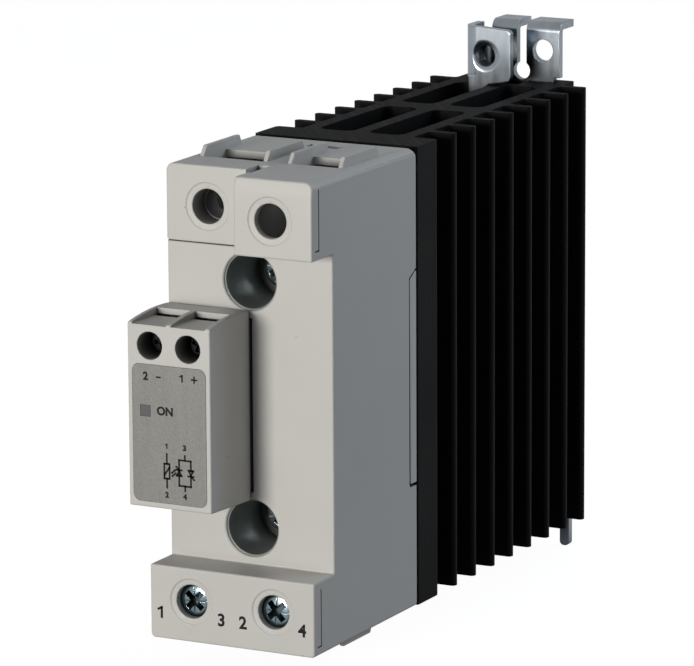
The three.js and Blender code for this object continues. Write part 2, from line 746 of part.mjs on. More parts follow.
// Control block
function controlSide() {
  const front = controlAt.front;
  const top = controlAt.frontTop;
  const shape = new THREE.Shape();
  shape.moveTo(front, controlAt.bottom);
  shape.lineTo(controlAt.back, controlAt.bottom - control.bottomDrop);
  shape.lineTo(controlAt.back, top + control.rearRise);
  shape.quadraticCurveTo((front + controlAt.back) / 2, top + control.crownPull, front, top);
  return shape;
}

function controlCells() {
  const inner = [controlAt.front + control.frontWall, controlAt.back + overrun];
  const sideX = [controlAt.left + control.wall, controlAt.right - control.wall];
  const ceiling = controlAt.frontTop - control.rampDrop - control.slotWall;
  const floor = controlAt.bottom + control.wall;
  return block(sideX, inner, [floor, ceiling]);
}

function controlTail() {
  const inner = control.wall;
  const deep = [controlAt.back - control.wall, controlAt.back + control.tailLength];
  const outer = block(tail.x, deep, tail.z);
  const hollowX = [controlAt.left + inner, controlAt.right - inner];
  const hollowZ = [tail.z[0] + inner / 2, tail.z[1] - inner / 2];
  return outer.subtract(block(hollowX, [deep[0] - overrun, deep[1] + overrun], hollowZ));
}

function controlTopCuts() {
  const rib = control.ribThickness;
  const bounds = [
    [controlAt.left + rib, controlAt.middle - rib / 2],
    [controlAt.middle + rib / 2, controlAt.right - rib],
  ];
  const rampZ = controlAt.frontTop - control.rampDrop;
  const slotFront = controlAt.front + control.slotStart;
  const slotY = [slotFront, slotFront + control.slotLength];
  const above = controlAt.frontTop + control.crownPull;
  const cuts = [];
  for (const [x0, x1] of bounds) {
    cuts.push(block([x0, x1], [controlAt.front - overrun, slotY[1]], [rampZ, above]));
    cuts.push(block([x0, x1], slotY, [rampZ - control.slotWall - overrun, above]));
  }
  return cuts;
}

function controlBlock() {
  const outer = prism(controlSide(), 'x', [controlAt.left, controlAt.right], facets.crown);
  const shell = outer.subtract(controlCells());
  const bossDiameter = control.holeDiameter + 2 * control.bossWall;
  const bosses = controlX.map((x) => roundBar(
    bossDiameter, [controlAt.front + control.frontWall / 2, controlAt.shoulderBack], x, controlAt.z,
  ));
  const whole = join(shell, controlTail(), join(...bosses).intersect(outer));
  const holes = controlX.flatMap((x) => [
    roundBar(control.holeDiameter, [controlAt.front - overrun, controlAt.shoulderFront], x, controlAt.z),
    roundBar(
      controlScrew.threadDiameter + 2 * gap.running,
      [controlAt.headFront, controlAt.shoulderBack + overrun], x, controlAt.z,
    ),
  ]);
  return carve(whole, ...holes, ...controlTopCuts(), labelRecess(), windowHole());
}

function labelOutline(margin) {
  const x = [controlAt.left + label.fromSide - margin, controlAt.right - label.fromSide + margin];
  const z = [controlAt.bottom + label.fromBottom - margin, controlAt.frontTop - label.fromTop + margin];
  return roundedRectangle(x, z, label.corner);
}

function labelRecess() {
  return prism(labelOutline(gap.bond), 'y', [controlAt.front - overrun, controlAt.front + label.recess]);
}

const windowX = controlAt.left + statusWindow.fromLeft;
const windowZ = controlAt.bottom + (controlAt.frontTop - controlAt.bottom) * statusWindow.heightShare;

function windowHole() {
  const size = statusWindow.size + 2 * gap.bond;
  const reach = [controlAt.front - overrun, controlAt.front + control.frontWall + overrun];
  return block(around(windowX, size), reach, around(windowZ, size));
}

function controlLabel() {
  const back = controlAt.front + label.recess - gap.bond;
  const sheetSolid = prism(labelOutline(0), 'y', [back - label.thickness, back]);
  return carve(sheetSolid, windowHole());
}

function ledWindow() {
  const front = controlAt.front + label.recess - gap.bond - label.thickness;
  const size = statusWindow.size;
  return block(around(windowX, size), [front, front + statusWindow.length], around(windowZ, size));
}

// A short round lamp whose legs turn aside to the board
function statusLed() {
  const front = controlAt.front + label.recess - label.thickness + statusWindow.length + gap.seat;
  const back = front + led.length;
  const r = led.diameter / 2;
  const [noseWidth, noseRise, noseDepth] = led.noseShares.map((share) => r * share);
  const body = turned([
    [0, front], [noseWidth, front + noseRise], [r, front + noseDepth], [r, back - led.flange],
    [r + led.flange / 2, back - led.flange], [r + led.flange / 2, back], [0, back],
  ], windowX, windowZ);
  const legX = [windowX - led.leg / 2, boardX[0] - gap.seat];
  const legs = [-1, 1].map((side) => block(
    legX, [back - led.flange, back + led.leg], around(windowZ + (side * led.legSpacing) / 2, led.leg),
  ));
  return join(body, ...legs);
}

function controlScrewAt(x) {
  const headDiameter = control.holeDiameter - 2 * gap.running;
  const length = [controlAt.headFront, controlAt.barFront - gap.running];
  return slottedScrew(controlScrew, headDiameter, length, x, controlAt.z);
}

function controlClampAt(x) {
  const body = block(
    around(x, controlAt.clampWidth), [controlAt.clampFront, controlAt.clampBack], controlAt.clampZ,
  );
  const through = [controlAt.clampZ[0] - overrun, controlAt.clampZ[1] + overrun];
  const innerWidth = controlAt.clampWidth - 2 * controlClamp.side;
  const space = block(around(x, innerWidth), [controlAt.clampInner, controlAt.wireBack], through);
  const hole = controlScrew.threadDiameter + 2 * gap.running;
  const drill = [controlAt.clampFront - overrun, controlAt.clampInner + overrun];
  return carve(body, space, roundBar(hole, drill, x, controlAt.z));
}

// A flat bar through the clamp with a lug that reaches the board beside it
function controlContact(x) {
  const innerWidth = controlAt.clampWidth - 2 * controlClamp.side - 2 * gap.running;
  const depth = [controlAt.barFront, controlAt.barBack];
  const bottom = controlAt.clampZ[0] - contact.tailDrop;
  const bar = block(around(x, innerWidth), depth, [bottom, controlAt.clampZ[1]]);
  const toBoard = x < boardX[0] ? [x, boardX[0] - gap.seat] : [boardX[1] + gap.seat, x];
  return bar.add(block(toBoard, depth, [bottom, bottom + contact.lugHeight]));
}

// Electronics
const boardX = around(controlAt.middle, board.thickness);
const boardRear = stack.frameFront - board.fromFrame;

function controlBoard() {
  const front = controlAt.front + board.fromFront;
  const bottom = controlAt.bottom + board.fromBottom;
  const top = controlAt.frontTop - board.fromTop;
  const rearTop = controlAt.frontTop - board.rearFromTop;
  const behindTail = control.tailLength + housing.wall + gap.seat;
  const frontPart = block(boardX, [front, boardRear], [bottom, top]);
  return frontPart.add(block(boardX, [behindTail, boardRear], [bottom, rearTop]));
}

const componentX = boardX[1] + gap.bond;

const varistorY = boardRear - varistor.fromRear - varistor.diameter / 2;

function optocouplerBody() {
  const z = around(midHeight, optocoupler.height);
  const back = varistorY - varistor.diameter / 2 - optocoupler.toVaristor;
  const side = [componentX, componentX + optocoupler.thickness];
  return block(side, [back - optocoupler.width, back], z);
}

function varistorDisc() {
  const geometry = new THREE.CylinderGeometry(
    varistor.diameter / 2, varistor.diameter / 2, varistor.thickness, facets.bore,
  );
  geometry.rotateZ(Math.PI / 2);
  geometry.translate(componentX + varistor.thickness / 2, varistorY, midHeight);
  return solidOf(geometry);
}

const chipZ = chip.middleShares.map((share) => substrateAt.bottom + substrateAt.height * share);

function thyristorChip(row) {
  const half = substrateAt.half + controlAt.middle - chip.fromEdge;
  const across = around(controlAt.middle, 2 * half);
  const upright = around(chipZ[row], substrateAt.height * chip.heightShare);
  return block(across, [stack.chipFront, stack.chipBack], upright);
}

function gatePinAt(row) {
  const span = [boardRear + gap.seat, stack.chipFront - gap.bond];
  return roundBar(gatePin.diameter, span, controlAt.middle, chipZ[row], facets.pin);
}

function ceramicSubstrate() {
  return block(substrateAt.x, [stack.substrateFront, stack.substrateBack], substrateAt.z);
}

function thermalPad() {
  return block(substrateAt.x, [stack.padFront, stack.padBack], substrateAt.z);
}

// Screws that hold the relay to the heatsink
function mountingScrew(z) {
  const headFront = access.depth - gap.seat - mountScrew.headHeight;
  const tip = stack.heatsink + heatsink.screwHoleDepth - gap.seat;
  return slottedScrew(mountScrew, mountScrew.headDiameter, [headFront, tip], 0, z);
}

// Extruded heatsink: right half of its section in (x, y), from the front to the rear
function arc(points, centreX, centreY, radius, fromAngle, toAngle, steps) {
  for (let step = 0; step <= steps; step += 1) {
    const angle = fromAngle + ((toAngle - fromAngle) * step) / steps;
    points.push(new THREE.Vector2(centreX + radius * Math.cos(angle), centreY + radius * Math.sin(angle)));
  }
}

function heatsinkHalf() {
  const quarter = Math.PI / 2;
  const points = [new THREE.Vector2(halfWidth, stack.heatsink)];
  const { finTip, finRoot, finThickness, baseCorner } = heatsink;
  const web = heatsink.spineWidth / 2;
  const finReach = spine.railSeat - heatsink.finRearMargin - spine.baseRear;
  const pitch = finReach / heatsink.finCount;
  arc(points, halfWidth - baseCorner, spine.baseRear - baseCorner, baseCorner, 0, quarter, facets.fin);
  arc(points, web + finRoot, spine.baseRear + finRoot, finRoot, -quarter, -2 * quarter, facets.fin);
  for (let fin = 1; fin <= heatsink.finCount; fin += 1) {
    const rear = spine.baseRear + fin * pitch;
    const front = rear - finThickness;
    arc(points, web + finRoot, front - finRoot, finRoot, 2 * quarter, quarter, facets.fin);
    arc(points, halfWidth - finTip, front + finTip, finTip, -quarter, 0, facets.fin);
    arc(points, halfWidth - finTip, rear - finTip, finTip, 0, quarter, facets.fin);
    arc(points, web + finRoot, rear + finRoot, finRoot, -quarter, -2 * quarter, facets.fin);
  }
  const grooveHalf = heatsink.springGrooveWidth / 2;
  const lipEdge = spine.slotHalf - heatsink.lipReach;
  arc(points, web - finTip, spine.railSeat - finTip, finTip, 0, quarter, facets.fin);
  const inner = [
    [lipEdge, spine.railSeat], [lipEdge, spine.lipFront],
    [spine.slotHalf, spine.lipFront], [spine.slotHalf, spine.slotFloor], [grooveHalf, spine.slotFloor],
    [grooveHalf, spine.slotFloor - heatsink.springGrooveDepth],
  ];
  return [...points, ...inner.map(([x, y]) => new THREE.Vector2(x, y))];
}

function heatsinkBody() {
  const right = heatsinkHalf();
  const left = right.map((p) => new THREE.Vector2(-p.x, p.y)).reverse();
  const shape = new THREE.Shape([...right, ...left]);
  const height = [0, housing.height];
  const chamberX = [heatsink.centreWeb / 2, spine.slotHalf];
  const cuts = [];
  for (const side of [-1, 1]) {
    const span = chamberX.map((x) => x * side).sort((a, b) => a - b);
    for (const along of [spine.frontChamber, spine.rearChamber]) {
      const outline = roundedRectangle(span, along, heatsink.chamberCorner);
      cuts.push(prism(outline, 'z', [height[0] - overrun, height[1] + overrun]));
    }
  }
  const drill = [stack.heatsink - overrun, stack.heatsink + heatsink.screwHoleDepth];
  const holes = Object.values(accessHeights).map((z) => roundBar(fixingHole, drill, 0, z, facets.screw));
  return carve(prism(shape, 'z', height), ...cuts, ...holes);
}

// Rail bracket of bent sheet: rail hook below, two fingers and an earth tab above
const sheetMiddle = spine.plateFront + sheet.thickness / 2;
const plateHalf = spine.slotHalf - gap.running;
const railTop = midHeight + rail.height / 2;
const railBottom = midHeight - rail.height / 2;
const hookReach = spine.railSeat + rail.lipThickness + gap.running + sheet.thickness / 2;
const hookWidth = 2 * (spine.slotHalf - heatsink.lipReach - rail.hookRoom);

// The strip of sheet that ends in a hook over one edge of the rail
function hookStrip(edge, outward, far) {
  const level = edge + outward * (gap.seat + sheet.thickness / 2);
  return bentStrip([
    [hookReach, edge - outward * rail.hookGrip],
    [hookReach, level],
    [sheetMiddle, level],
    [sheetMiddle, far],
  ], sheet.thickness, sheet.insideRadius);
}

// The flat plate: narrow in the heatsink's slot, with shoulders above it, and a hook below
function bracketPlate() {
  const turnEnd = railTop + gap.seat + sheet.thickness + sheet.insideRadius;
  const shoulder = housing.height + bracket.shoulderRise;
  const top = bendStart() + sheet.lap;
  const outline = polygon([
    [-plateHalf, turnEnd], [plateHalf, turnEnd], [plateHalf, shoulder], [bracket.rightEdge, shoulder],
    [bracket.rightEdge, top], [-bracket.leftEdge, top], [-bracket.leftEdge, shoulder], [-plateHalf, shoulder],
  ]);
  const plate = prism(outline, 'y', [spine.plateFront, spine.plateBack]);
  const hook = prism(hookStrip(railTop, 1, turnEnd + sheet.lap), 'x', around(0, hookWidth));
  return plate.add(hook);
}

// Height at which the fingers start to bend, less the lap of plate and flange
function bendStart() {
  return housing.height + bracket.top - sheet.thickness - sheet.insideRadius - sheet.lap;
}

// The two fingers bent back at the top, with the slot, key and hole between and in them
function bracketFingers() {
  const base = housing.height;
  const flangeMiddle = base + bracket.top - sheet.thickness / 2;
  const strip = bentStrip([
    [sheetMiddle, bendStart()],
    [sheetMiddle, flangeMiddle],
    [sheetMiddle + bracket.flangeLength, flangeMiddle],
  ], sheet.thickness, sheet.insideRadius);
  const upper = prism(strip, 'x', [-bracket.leftEdge, bracket.rightEdge]).add(bracketPlate());
  const through = [spine.plateFront - overrun, spine.plateBack + bracket.flangeLength + overrun];
  const tallZ = [base + bracket.keyRise, base + bracket.top + overrun];
  const slot = block(around(bracket.slotCentre, bracket.slotWidth), through, tallZ);
  const narrow = [spine.plateFront - overrun, spine.plateBack + overrun];
  const key = roundBar(bracket.keyDiameter, narrow, bracket.slotCentre, base + bracket.keyRise, facets.screw);
  const holeX = (bracket.slotCentre + bracket.slotWidth / 2 + bracket.rightEdge) / 2;
  const hole = roundBar(bracket.screwHole, narrow, holeX, base + bracket.screwHoleRise);
  const cornerX = [-bracket.leftEdge - overrun, -bracket.leftEdge + sheet.thickness + bracket.fingerGap];
  const cornerZ = [base + bracket.earthTop - bracket.fingerNotch, base + bracket.top + overrun];
  return carve(upper, slot, key, hole, block(cornerX, through, cornerZ));
}

// The side wall that runs forward and turns in to the earth tab, seen from above
const earthFront = spine.rearChamber[1] - gap.seat - sheet.thickness;

function bracketEarthTab() {
  const base = housing.height;
  const wallMiddle = -bracket.leftEdge + sheet.thickness / 2;
  const tabRight = -bracket.leftEdge + bracket.earthWidth;
  const tabMiddle = earthFront + sheet.thickness / 2;
  const strip = bentStrip([
    [tabRight, tabMiddle], [wallMiddle, tabMiddle], [wallMiddle, sheetMiddle],
    [wallMiddle + sheet.thickness + overrun, sheetMiddle],
  ], sheet.thickness, sheet.insideRadius);
  const bottom = base + bracket.shoulderRise;
  const tabTop = base + bracket.earthTop;
  const wrap = prism(strip, 'z', [bottom, tabTop]);
  const tabBack = earthFront + sheet.thickness;
  const wallRear = spine.plateFront - bracket.sideRear / 2;
  const outer = -bracket.leftEdge - overrun;
  const behind = spine.plateBack + overrun;
  const above = tabTop + overrun;
  const notchBack = block([outer, 0], [wallRear, behind], [tabTop - bracket.fingerNotch, above]);
  const faceOn = roundedRectangle([outer, tabRight], [bottom - overrun, tabTop], bracket.earthCorner);
  const rounded = prism(faceOn, 'y', [earthFront - overrun, tabBack + overrun]);
  const rear = block([outer, tabRight + overrun], [tabBack + gap.seat, behind], [bottom - overrun, above]);
  const legX = -bracket.leftEdge + bracket.legFromSide;
  const legZ = [bottom - bracket.legLength, bottom + overrun];
  const leg = block([legX, legX + bracket.legWidth], [earthFront, tabBack], legZ);
  return wrap.intersect(rounded.add(rear)).subtract(notchBack).add(leg);
}

// The tapped earth hole: a drawn collar behind the tab and a worn-in mouth in front
function withEarthHole(solid) {
  const x = -bracket.leftEdge + bracket.earthHoleFromSide;
  const z = housing.height + bracket.earthHoleRise;
  const back = earthFront + sheet.thickness;
  const collarEnd = back + bracket.earthCollarLength;
  const collarReach = [earthFront + sheet.thickness / 2, collarEnd];
  const collarDiameter = bracket.earthHole + 2 * bracket.earthCollar;
  const collar = roundBar(collarDiameter, collarReach, x, z, facets.screw);
  const r = bracket.earthHole / 2;
  const bore = turned([
    [0, earthFront - overrun], [r + bracket.earthMouth + overrun, earthFront - overrun],
    [r, earthFront + bracket.earthMouth], [r, collarEnd + overrun], [0, collarEnd + overrun],
  ], x, z);
  return carve(solid.add(collar), bore);
}

function railBracket() {
  return withEarthHole(bracketFingers().add(bracketEarthTab()));
}

// Sliding rail latch: hook above, crossbar with two pull ears below the heatsink
function dinLatch() {
  const barTop = -gap.running;
  const barBottom = barTop - latch.barHeight;
  const depth = [spine.plateFront, spine.plateBack];
  const hookEnd = latchTurnEnd - sheet.lap;
  const hook = prism(hookStrip(railBottom, -1, hookEnd), 'x', around(0, hookWidth));
  const plate = block([-plateHalf, plateHalf], depth, [barBottom, latchTurnEnd]);
  const barHalf = heatsink.spineWidth / 2 + latch.overhang;
  const bar = block([-barHalf, barHalf], depth, [barBottom, barTop]);
  const ears = [-1, 1].map((side) => {
    const outer = side * barHalf;
    const x = [outer, outer - side * latch.earWidth].sort((a, b) => a - b);
    const round = latch.earWidth * latch.earRoundShare;
    const shape = roundedRectangle(x, [-latch.earDrop, barTop], round);
    return prism(shape, 'y', depth);
  });
  return join(hook, plate, bar, ...ears, springTabSolid());
}

// The tab that is bent forward into the heatsink's groove and sits on the spring
const springX = (heatsink.springGrooveWidth - 2 * gap.running) / 2;

function springTabSolid() {
  const front = spine.slotFloor - heatsink.springGrooveDepth + gap.running;
  const y = [front, spine.plateFront + sheet.thickness / 2];
  return block([-springX, springX], y, [latchTurnEnd - latch.springTab, latchTurnEnd]);
}

const latchTurnEnd = railBottom - gap.seat - sheet.thickness - sheet.insideRadius;
const springTop = latchTurnEnd - latch.springTab - gap.seat;
const springBottom = springSeat.rise + springSeat.height + gap.seat;

function springSeatBlock() {
  const y = [spine.slotFloor - heatsink.springGrooveDepth + gap.seat, spine.slotFloor];
  return block([-springX, springX], y, [springSeat.rise, springSeat.rise + springSeat.height]);
}

// Compression spring in the groove, one unbroken tube of square-ended wire
class SpringLine extends THREE.Curve {
  getPoint(share, target = new THREE.Vector3()) {
    const radius = (spring.diameter - spring.wire) / 2;
    const angle = share * spring.turns * 2 * Math.PI;
    const endRoom = spring.wire * spring.endShare;
    const z = springBottom + endRoom + share * (springTop - springBottom - 2 * endRoom);
    return target.set(radius * Math.cos(angle), radius * Math.sin(angle), z);
  }
}

function latchSpring() {
  const line = new SpringLine();
  const section = new THREE.Shape();
  for (let side = 0; side < spring.wireSides; side += 1) {
    const angle = (2 * Math.PI * side) / spring.wireSides;
    const u = (spring.wire / 2) * Math.cos(angle);
    const v = (spring.wire / 2) * Math.sin(angle);
    if (side === 0) section.moveTo(u, v);
    else section.lineTo(u, v);
  }
  const geometry = new THREE.ExtrudeGeometry(section, {
    steps: spring.turns * spring.segmentsPerTurn, bevelEnabled: false, extrudePath: line,
  });
  geometry.translate(0, spine.springMiddle, 0);
  return solidOf(geometry);
}

// Assembly
const relay = new THREE.Group();
relay.position.set(0, -spine.railSeat, -midHeight);

function place(name, solid, material) {
  const mesh = new THREE.Mesh(geometryOf(solid), material());
  mesh.name = name;
  relay.add(mesh);
}

place('heatsink', heatsinkBody(), blackAnodised);
place('housing_cover', housingCover(), lightPlastic);
place('base_frame', baseFrame(), darkPlastic);
place('thermal_pad', thermalPad(), padGrey);
place('ceramic_substrate', ceramicSubstrate(), ceramicWhite);
[0, 1].forEach((row) => {
  place(`thyristor_chip_${row + 1}`, thyristorChip(row), silicon);
  place(`gate_pin_${row + 1}`, gatePinAt(row), copper);
});
for (const [name, side] of [['line', -1], ['load', 1]]) {
  place(`${name}_bar`, powerBarAt(side), copper);
  place(`${name}_screw`, powerScrewAt(side), zincScrew);
  place(`${name}_clamp`, powerClampAt(side), zincPlate);
}
place('control_block', controlBlock(), lightPlastic);
place('control_label', controlLabel(), labelFoil);
place('led_window', ledWindow(), windowGrey);
place('status_led', statusLed(), ledGreen);
place('control_board', controlBoard(), boardGreen);
place('optocoupler', optocouplerBody(), blackEpoxy);
place('varistor', varistorDisc(), varistorBlue);
['a2', 'a1'].forEach((name, i) => {
  place(`${name}_contact`, controlContact(controlX[i]), copper);
  place(`${name}_screw`, controlScrewAt(controlX[i]), blackSteel);
  place(`${name}_clamp`, controlClampAt(controlX[i]), zincPlate);
});
for (const [name, z] of Object.entries(accessHeights)) {
  place(`mounting_screw_${name}`, mountingScrew(z), zincScrew);
}
place('rail_bracket', railBracket(), zincPlate);
place('din_latch', dinLatch(), zincPlate);
place('spring_seat', springSeatBlock(), zincPlate);
place('latch_spring', latchSpring(), springSteel);

export default relay;
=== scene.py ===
import math

import bmesh
import bpy
from mathutils import Matrix, Vector


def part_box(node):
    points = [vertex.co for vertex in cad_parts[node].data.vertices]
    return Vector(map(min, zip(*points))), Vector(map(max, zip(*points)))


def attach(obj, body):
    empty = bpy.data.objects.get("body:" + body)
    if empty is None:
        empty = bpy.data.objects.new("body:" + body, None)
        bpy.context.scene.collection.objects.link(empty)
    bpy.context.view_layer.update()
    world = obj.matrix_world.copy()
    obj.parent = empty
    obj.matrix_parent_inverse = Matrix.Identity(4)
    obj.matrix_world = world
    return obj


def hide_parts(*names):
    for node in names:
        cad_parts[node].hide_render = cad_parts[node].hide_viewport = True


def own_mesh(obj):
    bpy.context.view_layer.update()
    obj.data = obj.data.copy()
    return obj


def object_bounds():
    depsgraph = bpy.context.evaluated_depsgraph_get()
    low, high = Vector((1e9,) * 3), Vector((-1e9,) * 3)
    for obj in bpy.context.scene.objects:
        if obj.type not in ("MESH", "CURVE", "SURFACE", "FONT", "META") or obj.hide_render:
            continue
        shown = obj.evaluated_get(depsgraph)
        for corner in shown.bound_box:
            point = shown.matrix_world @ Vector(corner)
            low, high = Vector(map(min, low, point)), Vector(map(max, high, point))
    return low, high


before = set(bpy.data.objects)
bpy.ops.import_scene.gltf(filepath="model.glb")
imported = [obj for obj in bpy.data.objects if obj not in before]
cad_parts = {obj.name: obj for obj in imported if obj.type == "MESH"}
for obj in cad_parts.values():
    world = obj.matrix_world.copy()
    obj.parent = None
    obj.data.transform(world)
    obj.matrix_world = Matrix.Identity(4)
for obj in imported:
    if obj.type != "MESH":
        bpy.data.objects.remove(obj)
cad_low, cad_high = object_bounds()

# Studio: the relay is photographed with a long lens from its right and a little from above,
# on seamless white paper, with one warm lamp in front, two pale ones behind and a pale room.
# Places are written in millimetres: x from the middle, y from the main front face, z from the base.
rail_seat, mid_height = 117.3, 45.0


def at(x, y, z):
    return Vector((x, y - rail_seat, z - mid_height)) * 0.001


def linked(name, data):
    piece = bpy.data.objects.new(name, data)
    bpy.context.scene.collection.objects.link(piece)
    return piece


# Each input of a node takes a plain value, another node's output, or a node, whose first output it is
def plug(node, inputs):
    for key, value in inputs.items():
        if isinstance(value, bpy.types.Node):
            value = value.outputs[0]
        if isinstance(value, bpy.types.NodeSocket):
            node.id_data.links.new(value, node.inputs[key])
        else:
            node.inputs[key].default_value = value


def add(tree, kind, inputs=None, **settings):
    made = tree.nodes.new(kind)
    for key, value in settings.items():
        setattr(made, key, value)
    plug(made, inputs or {})
    return made


def calc(tree, operation, *values):
    return add(tree, "ShaderNodeMath", dict(enumerate(values)), operation=operation)


azimuth, elevation, roll = (math.radians(angle) for angle in (27.536, 12.092, -0.319))
toward = Vector((
    math.sin(azimuth) * math.cos(elevation), -math.cos(azimuth) * math.cos(elevation),
    math.sin(elevation),
))
level = Vector((math.cos(azimuth), math.sin(azimuth), 0.0))
upright = toward.cross(level)
right = level * math.cos(roll) + upright * math.sin(roll)
upward = upright * math.cos(roll) - level * math.sin(roll)
camera = linked("camera", bpy.data.cameras.new("camera"))
camera_place = at(456.71, -836.824, 262.977)
camera.data.lens, camera.data.sensor_width = 270.57, 36.0
camera.data.clip_start, camera.data.clip_end = 0.05, 50.0
turn = Matrix((right, upward, toward)).transposed().to_4x4()
camera.matrix_world = Matrix.Translation(camera_place) @ turn
bpy.context.scene.camera = camera
bpy.context.scene.view_settings.view_transform = "Standard"


def hang_lamp(name, size, power, colour, bearing, rise, reach):
    data = bpy.data.lights.new(name, "AREA")
    data.shape, data.size, data.energy, data.color = "DISK", size, power, colour
    lamp = linked(name, data)
    bearing, rise = math.radians(bearing), math.radians(rise)
    away = Vector(
        (math.sin(bearing) * math.cos(rise), -math.cos(bearing) * math.cos(rise), math.sin(rise))
    )
    lamp.location = at(0, 0, mid_height) + away * reach
    lamp.rotation_euler = away.to_track_quat("Z", "Y").to_euler()
    return lamp


hang_lamp("front_lamp", 0.36, 12.9, (1.0, 0.975, 0.94), -11, 6, 1.27)
hang_lamp("side_lamp", 0.4, 1.72, (0.81, 0.885, 1.0), 130, 26, 0.75)
hang_lamp("rear_lamp", 0.8, 2.1, (0.82, 0.91, 1.0), 175, 48, 1.27).visible_glossy = False


# The camera and clear pieces see the room and the paper as white, and a gloss sees a part of that
def seen_white(tree, in_gloss):
    path = add(tree, "ShaderNodeLightPath")
    seen = calc(tree, "MAXIMUM", path.outputs["Is Camera Ray"], path.outputs["Is Transmission Ray"])
    glint = calc(tree, "MULTIPLY", path.outputs["Is Glossy Ray"], in_gloss)
    return calc(tree, "MAXIMUM", seen, glint)


world = bpy.data.worlds.new("pale_room")
bpy.context.scene.world = world
world.use_nodes = True
room = world.node_tree
room.nodes.clear()
shade = add(room, "ShaderNodeBackground", {"Color": (0.90, 0.95, 1.0, 1.0), "Strength": 0.15})
white = add(room, "ShaderNodeBackground", {"Color": (1.0, 1.0, 1.0, 1.0), "Strength": 1.0})
mixed = add(room, "ShaderNodeMixShader", {0: seen_white(room, 0.32), 1: shade, 2: white})
add(room, "ShaderNodeOutputWorld", {"Surface": mixed})

# White paper, with a painted shade in its gloss wherever the relay stands over it
paper = bpy.data.materials.new("white_paper")
paper.use_nodes = True
tree = paper.node_tree
tree.nodes.clear()
fleck = add(tree, "ShaderNodeTexNoise", {"Scale": 40.0, "Detail": 3.0})
tint = add(tree, "ShaderNodeMapRange", {"Value": fleck.outputs["Fac"], "To Min": 0.11, "To Max": 0.13})
# Painted shade: ambient occlusion darkens what a gloss sees of the paper under the relay
clear = add(tree, "ShaderNodeAmbientOcclusion", {"Distance": 0.08}, samples=8)
soft = add(tree, "ShaderNodeBsdfDiffuse", {"Color": tint})
bright = add(tree, "ShaderNodeEmission", {"Color": (1.0, 1.0, 1.0, 1.0), "Strength": 0.96})
backed = add(tree, "ShaderNodeAddShader", {0: soft, 1: bright})
plain = add(tree, "ShaderNodeBsdfDiffuse", {"Color": (0.3, 0.3, 0.3, 1.0)})
shown = seen_white(tree, calc(tree, "MULTIPLY", clear.outputs["AO"], 0.44))
mixed = add(tree, "ShaderNodeMixShader", {0: shown, 1: plain, 2: backed})
add(tree, "ShaderNodeOutputMaterial", {"Surface": mixed})

paper_reach, below_relay = 6.0, 0.0002
paper_sheet = bmesh.new()
bmesh.ops.create_grid(paper_sheet, x_segments=2, y_segments=2, size=paper_reach)
floor = linked("floor", bpy.data.meshes.new("floor"))
paper_sheet.to_mesh(floor.data)
paper_sheet.free()
floor.data.transform(Matrix.Translation((0.0, 0.0, cad_low.z - below_relay)))
floor.data.materials.append(paper)


# Heatsink: one length of extruded aluminium, saw-cut at both ends and then black anodised.
# Eight fins stand out from each side of a hollow spine, and a slot at the rear takes the bracket.
# The die leaves fine lines along its length; the saw leaves slanting marks on its ends.
FLOAT, COLOUR, VECTOR = "NodeSocketFloat", "NodeSocketColor", "NodeSocketVector"


def new_group(name, inputs, outputs):
    group = bpy.data.node_groups.new(name, "ShaderNodeTree")
    for label, kind, value in inputs:
        group.interface.new_socket(label, in_out="INPUT", socket_type=kind).default_value = value
    for label, kind in outputs:
        group.interface.new_socket(label, in_out="OUTPUT", socket_type=kind)
    return group, group.nodes.new("NodeGroupInput").outputs, group.nodes.new("NodeGroupOutput")


def fill_group(tree, group, inputs):
    return add(tree, "ShaderNodeGroup", inputs, node_tree=group)


def toned(tree, colour, factor):
    return add(tree, "ShaderNodeVectorMath", {0: colour, "Scale": factor}, operation="SCALE")


def new_material(name):
    material = bpy.data.materials.new(name)
    material.use_nodes = True
    tree = material.node_tree
    tree.nodes.clear()
    spot = add(tree, "ShaderNodeTexCoord")
    shader = add(tree, "ShaderNodeBsdfPrincipled")
    add(tree, "ShaderNodeOutputMaterial", {"Surface": shader})
    return material, tree, spot.outputs["Object"], shader


# Relief: a fine texture raised on a surface whose corners are broken by a small round
fine_relief, given, out = new_group("fine_relief", [
    ("Height", FLOAT, 0.5), ("Strength", FLOAT, 0.2), ("Depth", FLOAT, 0.00004),
    ("Corner", FLOAT, 0.0002),
], [("Normal", VECTOR)])
rounding = add(fine_relief, "ShaderNodeBevel", {"Radius": given["Corner"]}, samples=4)
raised = add(fine_relief, "ShaderNodeBump", {
    "Height": given["Height"], "Strength": given["Strength"], "Distance": given["Depth"],
    "Normal": rounding,
})
plug(out, {"Normal": raised.outputs["Normal"]})


def surface(tree, shader, height, strength, depth, edge):
    relief = fill_group(
        tree, fine_relief, {"Height": height, "Strength": strength, "Depth": depth, "Corner": edge}
    )
    plug(shader, {"Normal": relief.outputs["Normal"]})


# Fine lines that run one way over a surface, as a die, a roller or a brush leaves them
drawn_lines, given, out = new_group("drawn_lines", [
    ("Vector", VECTOR, (0, 0, 0)), ("Stretch", VECTOR, (900, 900, 12)),
    ("Colour", COLOUR, (0.5, 0.5, 0.5, 1)),
    ("Contrast", FLOAT, 0.2), ("Roughness", FLOAT, 0.4), ("Unevenness", FLOAT, 0.1),
], [("Colour", COLOUR), ("Roughness", FLOAT), ("Height", FLOAT)])
scaled = add(drawn_lines, "ShaderNodeVectorMath", {
    0: given["Vector"], 1: given["Stretch"],
}, operation="MULTIPLY")
lines = add(drawn_lines, "ShaderNodeTexNoise", {
    "Vector": scaled, "Scale": 1.0, "Detail": 3.0, "Roughness": 0.6,
})
cloud = add(drawn_lines, "ShaderNodeTexNoise", {"Vector": given["Vector"], "Scale": 55.0, "Detail": 3.0})
centred = calc(drawn_lines, "SUBTRACT", lines.outputs["Fac"], 0.5)
factor = calc(drawn_lines, "MULTIPLY_ADD", centred, given["Contrast"], 1.0)
